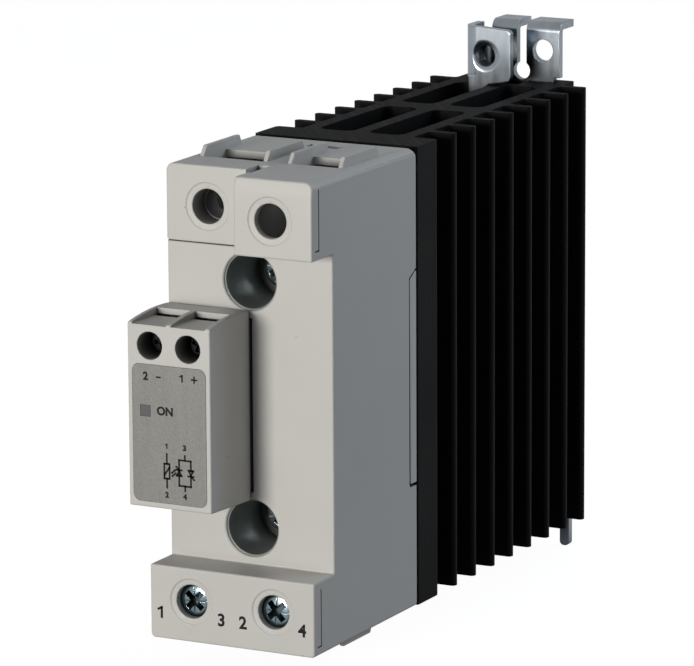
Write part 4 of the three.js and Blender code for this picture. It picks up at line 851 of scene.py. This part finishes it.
def stroke(points, width, front):
    shape = bmesh.new()
    for (x0, z0), (x1, z1) in zip(points, points[1:]):
        run = Vector((x1 - x0, z1 - z0)).normalized() * width / 2
        aside = Vector((-run.y, run.x))
        ends = [
            (x0 - run.x + aside.x, z0 - run.y + aside.y), (x0 - run.x - aside.x, z0 - run.y - aside.y),
            (x1 + run.x - aside.x, z1 + run.y - aside.y), (x1 + run.x + aside.x, z1 + run.y + aside.y),
        ]
        layers = [[shape.verts.new(at(x, y, z)) for x, z in ends] for y in (front, front + 0.02)]
        for i in range(4):
            shape.faces.new((layers[0][i - 1], layers[0][i], layers[1][i], layers[1][i - 1]))
        for layer in layers:
            shape.faces.new(layer)
    bmesh.ops.recalc_face_normals(shape, faces=shape.faces)
    mesh = bpy.data.meshes.new("stroke")
    shape.to_mesh(mesh)
    shape.free()
    return mesh


def gathered(meshes):
    shape = bmesh.new()
    for mesh in meshes:
        shape.from_mesh(mesh)
        bpy.data.meshes.remove(mesh)
    mesh = bpy.data.meshes.new("gathered")
    shape.to_mesh(mesh)
    shape.free()
    return linked("gathered", mesh)


def numeral_one(x, z, height, width, front):
    top_z, foot_z = z + height - width / 2, z + width / 2
    stem = stroke([(x, foot_z), (x, top_z)], width, front)
    return [stem, stroke([(x, top_z), (x - height * 0.3, z + height * 0.74)], width * 0.85, front)]


# On the label: numbers and signs of the control terminals, ON, and the plain drawing of an input
# that switches two opposed thyristors. On the lower block: the numbers of the mains terminals.
label_face, lower_face, numeral_face = -15.67, -8.205, -8.21
marks = [
    lettered("2", -14.2, 51.75, 1.45, label_face), *numeral_one(-5.9, 51.95, 1.45, 0.33, label_face),
    lettered("ON", -11.35, 45.35, 1.5, label_face),
    stroke([(-11.3, 52.45), (-10.6, 52.45)], 0.33, label_face),
    stroke([(-3.9, 52.65), (-2.8, 52.65)], 0.3, label_face),
    stroke([(-3.35, 52.1), (-3.35, 53.2)], 0.3, label_face),
]
line, coil_x, switch_x = 0.37, -9.35, -5.5
coil_lines = [
    [(0, 38.0), (0, 36.1)], [(0, 33.3), (0, 31.6)],
    [(-0.55, 36.1), (0.55, 36.1), (0.55, 33.3), (-0.55, 33.3), (-0.55, 36.1)],
    [(-0.55, 33.9), (0.55, 35.5)],
]
arrow_lines = [[(-8.3, 34.5), (-7.6, 35.1)], [(-8.2, 33.9), (-7.5, 34.5)]]
switch_lines = [
    [(0, 38.0), (0, 37.1)], [(0, 32.2), (0, 31.3)],
    [(-1.25, 34.9), (-1.25, 37.1), (1.25, 37.1), (1.25, 35.2)],
    [(-1.25, 34.4), (-1.25, 32.2), (1.25, 32.2), (1.25, 34.4)],
    [(-1.8, 35.2), (-0.7, 35.2)], [(0.7, 34.2), (1.8, 34.2)],
    [(-1.75, 34.1), (-1.25, 35.0), (-0.75, 34.1), (-1.75, 34.1)],
    [(0.75, 35.3), (1.25, 34.4), (1.75, 35.3), (0.75, 35.3)],
    [(-1.25, 35.2), (-1.85, 35.8)], [(1.25, 34.2), (1.95, 33.6)],
]
for drawing, middle in ((coil_lines, coil_x), (arrow_lines, 0), (switch_lines, switch_x)):
    marks += [stroke([(middle + x, z) for x, z in points], line, label_face) for points in drawing]
marks += numeral_one(-9.3, 39.0, 1.0, 0.26, label_face)
marks += numeral_one(-15.1, 3.95, 2.35, 0.5, numeral_face)
for words, x, z, height, front in (
    ("3", -5.9, 39.0, 1.0, label_face), ("2", -9.75, 29.7, 1.0, label_face),
    ("4", -5.9, 29.7, 1.0, label_face), ("3", -3.1, 3.95, 2.3, lower_face),
    ("2", 1.5, 3.95, 2.3, lower_face), ("4", 14.1, 3.95, 2.3, lower_face),
):
    marks.append(lettered(words, x, z, height, front))
prints = gathered(marks)
dressed(prints, "printed_marks", ink, "relay", "black_epoxy")


# Screws: cold-headed steel with a cross recess and four fine ticks, threads rolled on the shank.
# Zinc plated ones clamp the mains wires and hold the relay to its heatsink; the two small
# blackened ones are in the control terminals.
def metal(name, colour, stretch, contrast, roughness, unevenness, relief, depth, edge):
    material, tree, spot, shader = new_material(name)
    rolled = fill_group(tree, drawn_lines, {
        "Vector": spot, "Stretch": stretch, "Colour": (*colour, 1.0), "Contrast": contrast,
        "Roughness": roughness, "Unevenness": unevenness,
    })
    plug(shader, {
        "Base Color": rolled.outputs["Colour"], "Roughness": rolled.outputs["Roughness"],
        "Metallic": 1.0,
    })
    surface(tree, shader, rolled.outputs["Height"], relief, depth, edge)
    return material, tree, rolled, shader


def screw_finish(name, colour, roughness, reach):
    stretch = (700.0, 700.0, 260.0)
    contrast, unevenness, relief, depth, edge = 0.8, 0.25, 0.25, 0.00004, 0.0001
    material, tree, rolled, shader = metal(
        name, colour, stretch, contrast, roughness, unevenness, relief, depth, edge,
    )
    # Painted shade: colour darkened deep in the cross recess and close beside the well walls
    plug(shader, {"Base Color": painted_recess_shade(tree, rolled.outputs["Colour"], reach, 0.7, 0.04)})
    return material


zinc_screw = screw_finish("zinc_screw", (0.33, 0.44, 0.48), 0.15, 0.003)
# A paler copy of the zinc for the fixing screws deep in the access holes: a painted highlight standing
# in for light
painted_lit_zinc = screw_finish("painted_lit_zinc", (0.6, 0.7, 0.74), 0.25, 0.002)
black_screw = screw_finish("blackened_screw", (0.03, 0.031, 0.034), 0.38, 0.002)


# The end of a Geometry Nodes tree: all its shapes, made real, with their finish
def made_real(tree, out, material, *shapes):
    real = add(tree, "GeometryNodeRealizeInstances", {"Geometry": joined(tree, *shapes)})
    plug(out, {0: add(tree, "GeometryNodeSetMaterial", {"Geometry": real, "Material": material})})


screw_tree, given, out = geometry_tree("cross_recess_screw", [
    ("Head Diameter", FLOAT, 0.006), ("Head Height", FLOAT, 0.002), ("Dome", FLOAT, 0.0004),
    ("Shank Diameter", FLOAT, 0.005), ("Length", FLOAT, 0.01), ("Pitch", FLOAT, 0.0008),
    ("Recess", FLOAT, 0.004), ("Recess Depth", FLOAT, 0.0016),
])


def along(z):
    return add(screw_tree, "ShaderNodeCombineXYZ", {"Z": z})


def part_of(a, b):
    return calc(screw_tree, "MULTIPLY", a, b)


def moved(shape, rise, **turn):
    return add(
        screw_tree, "GeometryNodeTransform", {"Geometry": shape, "Translation": along(rise), **turn}
    )


head_radius = part_of(given["Head Diameter"], 0.5)
shank_radius = part_of(given["Shank Diameter"], 0.5)
rim_height = calc(screw_tree, "SUBTRACT", given["Head Height"], given["Dome"])
barrel = add(screw_tree, "GeometryNodeMeshCylinder", {
    "Vertices": 64, "Radius": head_radius, "Depth": rim_height,
})
dome = add(screw_tree, "GeometryNodeMeshUVSphere", {"Segments": 64, "Rings": 24, "Radius": head_radius})
flat = calc(screw_tree, "DIVIDE", given["Dome"], head_radius)
squash = add(screw_tree, "ShaderNodeCombineXYZ", {"X": 0.999, "Y": 0.999, "Z": flat})
cap = add(screw_tree, "GeometryNodeTransform", {"Geometry": dome, "Scale": squash})
shank = add(screw_tree, "GeometryNodeMeshCylinder", {
    "Vertices": 48, "Radius": part_of(shank_radius, 0.88), "Depth": given["Length"],
})
carved = add(screw_tree, "GeometryNodeMeshBoolean", None, operation="UNION", solver="MANIFOLD")
for solid in (
    moved(barrel, part_of(rim_height, -0.5)), cap, moved(shank, part_of(given["Length"], -0.5))
):
    plug(carved, {"Mesh 2": solid})

# The cross recess: two crossed slots with a pointed floor, and four fine ticks between its arms
arm, tick_length, tick = (part_of(given["Recess"], share) for share in (0.27, 1.18, 0.06))
deep, shallow = part_of(given["Recess Depth"], 2.0), part_of(given["Dome"], 0.9)
cutters = []
for size_x, size_y, depth, angle in (
    (given["Recess"], arm, deep, 0), (arm, given["Recess"], deep, 0),
    (tick_length, tick, shallow, 45), (tick_length, tick, shallow, -45),
):
    size = add(screw_tree, "ShaderNodeCombineXYZ", {"X": size_x, "Y": size_y, "Z": depth})
    wing = add(screw_tree, "GeometryNodeMeshCube", {"Size": size})
    cutters.append(moved(wing, given["Dome"], Rotation=(0.0, 0.0, math.radians(angle))))
point = add(screw_tree, "GeometryNodeMeshCone", {
    "Vertices": 32, "Radius Top": arm, "Radius Bottom": part_of(given["Recess"], 0.05),
    "Depth": given["Recess Depth"],
})
cutters.append(moved(point, calc(screw_tree, "SUBTRACT", given["Dome"], given["Recess Depth"])))
for cutter in cutters:
    pocket = add(screw_tree, "GeometryNodeMeshBoolean", None, operation="DIFFERENCE", solver="MANIFOLD")
    plug(pocket, {0: carved, 1: cutter})
    carved = pocket

# The thread: a three-sided tooth wound round the lower part of the shank
turns = calc(screw_tree, "DIVIDE", part_of(given["Length"], 0.72), given["Pitch"])
coil_radius = part_of(shank_radius, 0.9)
helix = add(screw_tree, "GeometryNodeCurveSpiral", {
    "Resolution": 24, "Rotations": turns, "Start Radius": coil_radius, "End Radius": coil_radius,
    "Height": part_of(given["Length"], -0.72),
})
tooth = add(screw_tree, "GeometryNodeCurvePrimitiveCircle", {
    "Resolution": 3, "Radius": part_of(given["Pitch"], 0.36),
})
thread = add(screw_tree, "GeometryNodeCurveToMesh", {
    "Curve": moved(helix, part_of(given["Length"], -0.25)), "Profile Curve": tooth, "Fill Caps": True,
})
made_real(screw_tree, out, zinc_screw, carved, thread)


def screw(name, x, z, head_front, tip, sizes, spin, material, body_name, slot, node):
    piece = linked(name, bpy.data.meshes.new(name))
    head, height, dome, thread_width, pitch, recess, depth = sizes
    grown(piece, screw_tree, {
        "Head Diameter": head * 0.001, "Head Height": height * 0.001, "Dome": dome * 0.001,
        "Shank Diameter": thread_width * 0.001, "Length": (tip - head_front - dome) * 0.001,
        "Pitch": pitch * 0.001, "Recess": recess * 0.001, "Recess Depth": depth * 0.001,
    })
    out_of_face = Matrix.Rotation(math.radians(90), 4, "X") @ Matrix.Rotation(math.radians(spin), 4, "Z")
    piece.data.transform(Matrix.Translation(at(x, head_front + dome, z)) @ out_of_face)
    smoothed(piece, 40)
    return dressed(piece, name, material, body_name, slot, node)


# Sizes: head diameter, head height, dome, thread diameter, pitch, recess width and recess depth.
# Ends: the rim of the head in front and the tip behind.
power_sizes, power_ends = (6.34, 2.75, 0.65, 5.0, 0.8, 4.5, 2.1), (-6.95, 4.1)
for name, x, spin in (("line", -terminal_x, 47), ("load", terminal_x, 40)):
    screw(name + "_terminal_screw", x, lower_well, *power_ends, power_sizes, spin, zinc_screw,
          name + "_screw", "zinc_screw", name + "_screw")
fixing_sizes, fixing_ends = (6.4, 1.9, 0.6, 4.0, 0.7, 4.4, 1.5), (11.4, 42.6)
for name, z, spin in (("upper", upper_hole, 25), ("lower", lower_hole, 60)):
    screw(name + "_fixing_screw", 0.0, z, *fixing_ends, fixing_sizes, spin, painted_lit_zinc,
          "relay", "zinc_screw", "mounting_screw_" + name)
control_sizes, control_ends = (4.6, 1.3, 0.3, 3.0, 0.5, 3.0, 0.9), (-11.2, -4.6)
for name, x, spin in (("a2", control_x[0], 12), ("a1", control_x[1], 70)):
    screw(name + "_terminal_screw", x, control_z, *control_ends, control_sizes, spin, black_screw,
          name + "_screw", "black_steel", name + "_screw")


# Rail bracket: one piece of 1.5 mm sheet steel, blanked, bent and bright zinc plated.
# Its plate stands in the heatsink's slot with a hook over the rail; above the fins it ends in
# two bent-back fingers and, at the front of a side wall, the tab with the tapped earth hole.
zinc_plate, tree, spot, shader = new_material("zinc_plate")
rolled = fill_group(tree, drawn_lines, {
    "Vector": spot, "Stretch": (700.0, 700.0, 60.0), "Colour": (0.5, 0.555, 0.605, 1.0),
    "Contrast": 0.12, "Roughness": 0.22, "Unevenness": 0.1,
})
bloom = add(
    tree, "ShaderNodeTexNoise", {"Vector": spot, "Scale": 160.0, "Detail": 4.0, "Roughness": 0.5}
)
dull = add(tree, "ShaderNodeMapRange", {
    "Value": bloom.outputs["Fac"], "From Min": 0.3, "From Max": 0.7, "To Min": 0.8, "To Max": 1.12,
})
tinted = toned(tree, rolled.outputs["Colour"], dull)
# Painted shade: the plate's colour darkened in its bends, slots and holes and close to other parts
plug(shader, {
    "Base Color": painted_recess_shade(tree, tinted, 0.015, 0.68, 0.03), "Roughness": rolled.outputs["Roughness"],
})
surface(tree, shader, bloom.outputs["Fac"], 0.1, 0.0001, 0.0003)
shader.inputs["Metallic"].default_value = 1.0


def bent_strip(line, thickness=1.5, inside=0.5, steps=8):
    points = [Vector(point) for point in line]
    headings = [(after - point).normalized() for point, after in zip(points, points[1:])]
    left, rest = [], []

    def put(point, heading):
        aside = Vector((-heading.y, heading.x)) * thickness / 2
        left.append(tuple(point + aside))
        rest.append(tuple(point - aside))

    put(points[0], headings[0])
    for corner, into, onward in zip(points[1:], headings, headings[1:]):
        turn = math.atan2(into.x * onward.y - into.y * onward.x, into.dot(onward))
        radius = inside + thickness / 2
        start = corner - into * radius * math.tan(abs(turn) / 2)
        centre = start + Vector((-into.y, into.x)) * math.copysign(radius, turn)
        for step in range(steps + 1):
            spin = Matrix.Rotation(turn * step / steps, 2)
            put(centre + spin @ (start - centre), spin @ into)
    put(points[-1], headings[-1])
    return left + rest[::-1]


# The sheet in the slot: its front, rear and middle planes, and half its width
sheet_front, sheet_rear, sheet_mid, in_slot = 114.0, 115.5, 114.75, 8.8
finger_left, finger_right, shoulder, hook_half = -7.4, 10.1, 90.9, 6.2
plate_outline = [
    (-in_slot, 64.8), (in_slot, 64.8), (in_slot, shoulder), (finger_right, shoulder),
    (finger_right, 100.2), (finger_left, 100.2), (finger_left, shoulder), (-in_slot, shoulder),
]
finger_line = [(sheet_mid, 99.4), (sheet_mid, 101.45), (120.75, 101.45)]
fingers = prism(bent_strip(finger_line), "x", finger_left, finger_right)
hook_line = [(119.35, 60.9), (119.35, 63.55), (sheet_mid, 63.55), (sheet_mid, 65.6)]
hook = prism(bent_strip(hook_line), "x", -hook_half, hook_half)
combined(fingers, [prism(plate_outline, "y", sheet_front, sheet_rear), hook], "UNION")

# A keyhole slot between the fingers, a round hole in the right one, and room beside the left one
cut_front, cut_rear, cut_far, cut_top = 113.0, 116.5, 122.5, 103.2
key_x, key_z, key_slot, key_bore = 1.6, 92.0, 2.1, 3.7
combined(fingers, [
    box(key_x - key_slot / 2, key_x + key_slot / 2, cut_front, cut_far, key_z, cut_top),
    bar(key_bore, cut_front, cut_rear, key_x, key_z), bar(4.5, cut_front, cut_rear, 6.375, 96.4),
    box(-8.4, -5.15, cut_front, cut_far, 96.9, cut_top),
], "DIFFERENCE")

# The wall and the earth tab: a strip bent round the left corner, cut to the tab's outline in front
hole_x, hole_z, tab_front, tab_mid, collar_end = -2.4, 96.0, 104.8, 105.55, 109.3
wrap_line = [(3.4, tab_mid), (-6.65, tab_mid), (-6.65, sheet_mid), (-3.65, sheet_mid)]
wrap = prism(bent_strip(wrap_line, inside=1.7), "z", 88.0, 101.9)
tab_outline = [(-8.4, 88.1), (-4.2, 88.3), (-1.5, 90.3), (2.6, 91.0)] + arc(2.4, 92.0, 1.0, -70, 0, 4)
tab_outline += arc(2.4, 100.5, 1.0, 0, 85, 6) + [(-8.4, 102.2)]
tab_face = prism(tab_outline, "y", 103.8, 107.3)
combined(tab_face, [box(-8.4, 4.4, 106.9, 116.5, 90.1, 102.9)], "UNION")
combined(wrap, [tab_face], "INTERSECT")
combined(wrap, [box(-8.4, 0.0, 112.0, 116.5, 96.9, 102.9)], "DIFFERENCE")
combined(fingers, [wrap, box(-6.0, -2.8, 104.8, 106.3, 79.9, 91.9)], "UNION")

# The earth hole: a drawn collar behind the tab, a rounded dimple in front and a thread through both
dimple_radius, dimple_width, dimple_depth = 3.45, 1.25, 0.38
thread_root, thread_crest, thread_pitch, first_turn, turn_count = 2.35, 2.12, 0.6, 105.5, 6
collar_line = [
    (0, tab_mid), (3.7, tab_mid), (3.7, 106.3), (3.25, 106.7), (3.1, collar_end), (0, collar_end),
]
collar = turned(collar_line, hole_x, hole_z)
bore_line = [(0, tab_front - past), (dimple_radius, tab_front - past)]
for i in range(9):
    bore_line.append((dimple_radius - dimple_width * i / 8, tab_front + dimple_depth * (i / 8) ** 2))
for i in range(turn_count):
    turn_y = first_turn + thread_pitch * i
    bore_line += [(thread_root, turn_y), (thread_crest, turn_y + thread_pitch / 2)]
bore_line += [(thread_crest, collar_end + past), (0, collar_end + past)]
bore = turned(bore_line, hole_x, hole_z)
combined(combined(fingers, [collar], "UNION"), [bore], "DIFFERENCE")
smoothed(cleaned(fingers))
dressed(fingers, "rail_bracket_sheet", zinc_plate, "relay", "zinc_plate", "rail_bracket")


# Rail latch: a second sheet that slides down in the same slot to let the relay off its rail.
# Its hook holds the rail's lower edge; its crossbar and two pull ears hang below the heatsink.
latch_line = [(119.35, 29.1), (119.35, 26.45), (sheet_mid, 26.45), (sheet_mid, 24.4)]
latch = prism(bent_strip(latch_line), "x", -hook_half, hook_half)
bar_half, ear_inner, bar_low, bar_top, ear_foot, ear_corner = 12.6, 10.5, -2.7, -0.3, -7.0, 0.88
plate_top, shelf_foot, shelf_half, shelf_front = 25.2, 23.7, 2.9, 109.2
latch_parts = [
    box(-in_slot, in_slot, sheet_front, sheet_rear, bar_low, plate_top),
    box(-bar_half, bar_half, sheet_front, sheet_rear, bar_low, bar_top),
]
for side in (-1, 1):
    ear = rounded(*sorted((side * bar_half, side * ear_inner)), ear_foot, bar_top, ear_corner)
    latch_parts.append(prism(ear, "y", sheet_front, sheet_rear))
latch_parts.append(box(-shelf_half, shelf_half, shelf_front, sheet_mid, shelf_foot, plate_top))
combined(latch, latch_parts, "UNION")
smoothed(cleaned(latch))
dressed(latch, "rail_latch_sheet", zinc_plate, "latch", "zinc_plate", "din_latch")


# Latch spring and its seat: a coil of hard-drawn wire with closed ends, standing in the
# heatsink's groove on a small zinc block, presses the latch up against the rail.
spring_wire = metal(
    "spring_wire", (0.33, 0.34, 0.35), (2500.0, 2500.0, 700.0), 0.5, 0.3, 0.2, 0.15, 0.00003, 0.00005
)[0]

coil_tree, given, out = geometry_tree("closed_end_spring", [
    ("Turns", FLOAT, 9.0), ("Wire", FLOAT, 0.0007), ("Radius", FLOAT, 0.00165),
    ("Height", FLOAT, 0.0171),
])


def sum_of(a, b):
    return calc(coil_tree, "ADD", a, b)


def product(a, b):
    return calc(coil_tree, "MULTIPLY", a, b)


steps = add(coil_tree, "FunctionNodeFloatToInt", {"Float": product(given["Turns"], 36.0)})
points = add(coil_tree, "GeometryNodeMeshLine", {"Count": steps}, mode="OFFSET")
index = add(coil_tree, "GeometryNodeInputIndex")
last = calc(coil_tree, "SUBTRACT", steps, 1.0)
share = calc(coil_tree, "DIVIDE", index, last)
angle = product(product(share, given["Turns"]), math.tau)
open_share = add(coil_tree, "ShaderNodeMapRange", {
    "Value": product(share, given["Turns"]), "From Min": 1.0,
    "From Max": calc(coil_tree, "SUBTRACT", given["Turns"], 1.0),
}, clamp=True)
packed = product(product(share, given["Turns"]), given["Wire"])
wire_room = calc(coil_tree, "SUBTRACT", given["Height"], given["Wire"])
spare = calc(coil_tree, "SUBTRACT", wire_room, product(given["Turns"], given["Wire"]))
rise = sum_of(sum_of(packed, product(open_share, spare)), product(given["Wire"], 0.5))
place = add(coil_tree, "ShaderNodeCombineXYZ", {
    "X": product(calc(coil_tree, "COSINE", angle), given["Radius"]),
    "Y": product(calc(coil_tree, "SINE", angle), given["Radius"]), "Z": rise,
})
wound = add(coil_tree, "GeometryNodeSetPosition", {"Geometry": points, "Position": place})
curve = add(coil_tree, "GeometryNodeMeshToCurve", {"Mesh": wound})
wire = add(coil_tree, "GeometryNodeCurvePrimitiveCircle", {
    "Resolution": 14, "Radius": product(given["Wire"], 0.5),
})
swept = add(coil_tree, "GeometryNodeCurveToMesh", {
    "Curve": curve, "Profile Curve": wire, "Fill Caps": True,
})
made_real(coil_tree, out, spring_wire, swept)
spring = linked("spring_coil", bpy.data.meshes.new("spring_coil"))
grown(spring, coil_tree, {"Turns": 9.0, "Wire": 0.0007, "Radius": 0.00165, "Height": 0.0171})
spring.data.transform(Matrix.Translation(at(0, 111.3, 6.3)))
smoothed(spring, 40)
dressed(spring, "spring_coil", spring_wire, "relay", "spring_steel", "latch_spring")
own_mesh(spring)


def refined(node, name, radius, material, body, slot):
    piece = linked(name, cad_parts[node].data.copy())
    softened(cleaned(piece), radius)
    smoothed(piece)
    return dressed(piece, name, material, body, slot, node)


refined("spring_seat", "spring_seat_block", 0.25, zinc_plate, "relay", "zinc_plate")


# Mains terminals: a rising cage of zinc plated steel on each screw draws the wire up against
# a bent copper bar, which runs back over the cage and down to the ceramic plate.
copper = metal(
    "tinned_copper", (0.72, 0.42, 0.28), (90.0, 1100.0, 1100.0), 0.25, 0.3, 0.2, 0.2, 0.00004, 0.0001
)[0]
for name in ("line", "load"):
    refined(name + "_clamp", name + "_cage", 0.3, zinc_plate, name + "_clamp", "zinc_plate")
    refined(name + "_bar", name + "_copper_bar", 0.15, copper, "relay", "copper")
for name in ("a2", "a1"):
    refined(name + "_clamp", name + "_cage", 0.18, zinc_plate, name + "_clamp", "zinc_plate")
    refined(name + "_contact", name + "_copper_contact", 0.1, copper, "relay", "copper")


# Switching stack behind the frame's window: two bare thyristor chips soldered to a white
# ceramic plate, with a grey heat pad between the plate and the aluminium.
ceramic = moulding("alumina", (0.78, 0.765, 0.71), 0.55, 0.06, 0.0, 0.1, 0.00003, 0.0001)[0]
heat_pad = plastic("heat_pad", (0.25, 0.26, 0.275), 0.8, 0.3)
wafer, tree, spot, shader = new_material("thyristor_wafer")
cells = add(tree, "ShaderNodeTexVoronoi", {"Vector": spot, "Scale": 900.0}, feature="DISTANCE_TO_EDGE")
cell_tone = add(tree, "ShaderNodeMapRange", {
    "Value": cells.outputs["Distance"], "From Min": 0.0, "From Max": 0.05,
    "To Min": 0.05, "To Max": 0.11,
})
shine = add(tree, "ShaderNodeMapRange", {
    "Value": cells.outputs["Distance"], "To Min": 0.2, "To Max": 0.35,
})
plug(shader, {"Base Color": cell_tone, "Roughness": shine, "Metallic": 0.5})
refined("ceramic_substrate", "ceramic_plate", 0.15, ceramic, "relay", "ceramic_white")
refined("thermal_pad", "heat_pad", 0.1, heat_pad, "relay", "pad_grey")
for row in ("1", "2"):
    refined("thyristor_chip_" + row, "thyristor_die_" + row, 0.06, wafer, "relay", "silicon")
    low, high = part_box("gate_pin_" + row)
    middle_z = (low[2] + high[2]) * 500 + mid_height
    front, back = low[1] * 1000 + rail_seat, high[1] * 1000 + rail_seat
    pin = turned([
        (0, front), (0.3, front), (0.5, front + 0.3), (0.5, front + 1.2), (0.38, front + 1.4),
        (0.38, back - 0.8), (0.5, back - 0.6), (0.5, back), (0, back),
    ], block_middle, middle_z, 24)
    smoothed(pin)
    dressed(pin, "gate_spring_pin_" + row, copper, "relay", "copper", "gate_pin_" + row)


# Control electronics: a green board on edge, from the control block back towards the chips,
# with the lamp at its front and the coupler, the surge disc and small resistors on its right face.
board_green, tree, spot, shader = new_material("solder_mask")
on_face = add(tree, "ShaderNodeMapping", {"Vector": spot, "Rotation": (0.0, math.radians(90), 0.0)})
grid = add(tree, "ShaderNodeTexBrick", {
    "Vector": on_face, "Scale": 420.0, "Mortar Size": 0.06, "Mortar": (0.05, 0.17, 0.075, 1.0),
    "Color1": (0.018, 0.085, 0.035, 1.0), "Color2": (0.022, 0.1, 0.042, 1.0),
})
weave = add(tree, "ShaderNodeTexNoise", {"Vector": spot, "Scale": 2500.0, "Detail": 2.0})
gloss = add(tree, "ShaderNodeMapRange", {"Value": weave.outputs["Fac"], "To Min": 0.25, "To Max": 0.45})
plug(shader, {"Base Color": grid.outputs["Color"], "Roughness": gloss})
surface(tree, shader, grid.outputs["Fac"], 0.2, 0.00004, 0.0001)
refined("control_board", "circuit_board", 0.08, board_green, "relay", "board_green")
black_epoxy = plastic("black_epoxy", (0.016, 0.016, 0.018), 0.4, 0.3)
surge_blue = plastic("surge_blue", (0.028, 0.075, 0.23), 0.35, 0.25)
clear_lamp = plastic("green_tinted_lamp", (0.38, 0.56, 0.34), 0.2, 0.1)
refined("optocoupler", "coupler_body", 0.25, black_epoxy, "relay", "black_epoxy")
low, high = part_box("varistor")
disc_x = low[0] * 1000
disc_y, disc_z = (low[1] + high[1]) * 500 + rail_seat, (low[2] + high[2]) * 500 + mid_height
rim, shoulder_radius, face_radius, thick = 3.72, 3.6, 3.1, 4.2
disc = turned([
    (0, 0), (face_radius, 0), (shoulder_radius, 0.5), (rim, 1.4),
    (rim, thick - 1.4), (shoulder_radius, thick - 0.5), (face_radius, thick), (0, thick),
], 0, 0, 48)
to_board = Matrix.Translation(at(disc_x, disc_y, disc_z)) @ Matrix.Rotation(math.radians(-90), 4, "Z")
disc.data.transform(Matrix.Translation(-at(0, 0, 0)))
disc.data.transform(to_board)
smoothed(disc)
dressed(disc, "surge_disc", surge_blue, "relay", "varistor_blue", "varistor")
refined("status_led", "status_lamp", 0.1, clear_lamp, "relay", "led_green")

resistor_tree, given, out = geometry_tree("resistor_row", [
    ("Count", "NodeSocketInt", 4), ("Pitch", FLOAT, 0.003), ("Length", FLOAT, 0.002),
])
stride = add(resistor_tree, "ShaderNodeCombineXYZ", {"Z": given["Pitch"]})
row = add(resistor_tree, "GeometryNodeMeshLine", {
    "Count": given["Count"], "Offset": stride,
}, mode="OFFSET")
half = calc(resistor_tree, "MULTIPLY", given["Length"], 0.5)
chip_size = add(resistor_tree, "ShaderNodeCombineXYZ", {
    "X": calc(resistor_tree, "MULTIPLY", given["Length"], 0.3), "Y": given["Length"], "Z": half,
})
chip = add(resistor_tree, "GeometryNodeMeshCube", {"Size": chip_size})
chips = add(resistor_tree, "GeometryNodeInstanceOnPoints", {"Points": row, "Instance": chip})
made_real(resistor_tree, out, black_epoxy, chips)
resistors = linked("board_resistors", bpy.data.meshes.new("board_resistors"))
grown(resistors, resistor_tree, {"Count": 5, "Pitch": 0.0034, "Length": 0.002})
board_half, chip_half, row_y, row_foot = 0.8, 0.28, -6.0, 33.0
row_x = block_middle + board_half + chip_half
resistors.data.transform(Matrix.Translation(at(row_x, row_y, row_foot)))
softened(resistors, 0.08)
smoothed(resistors)
dressed(resistors, "board_resistors", black_epoxy, "relay", "black_epoxy")
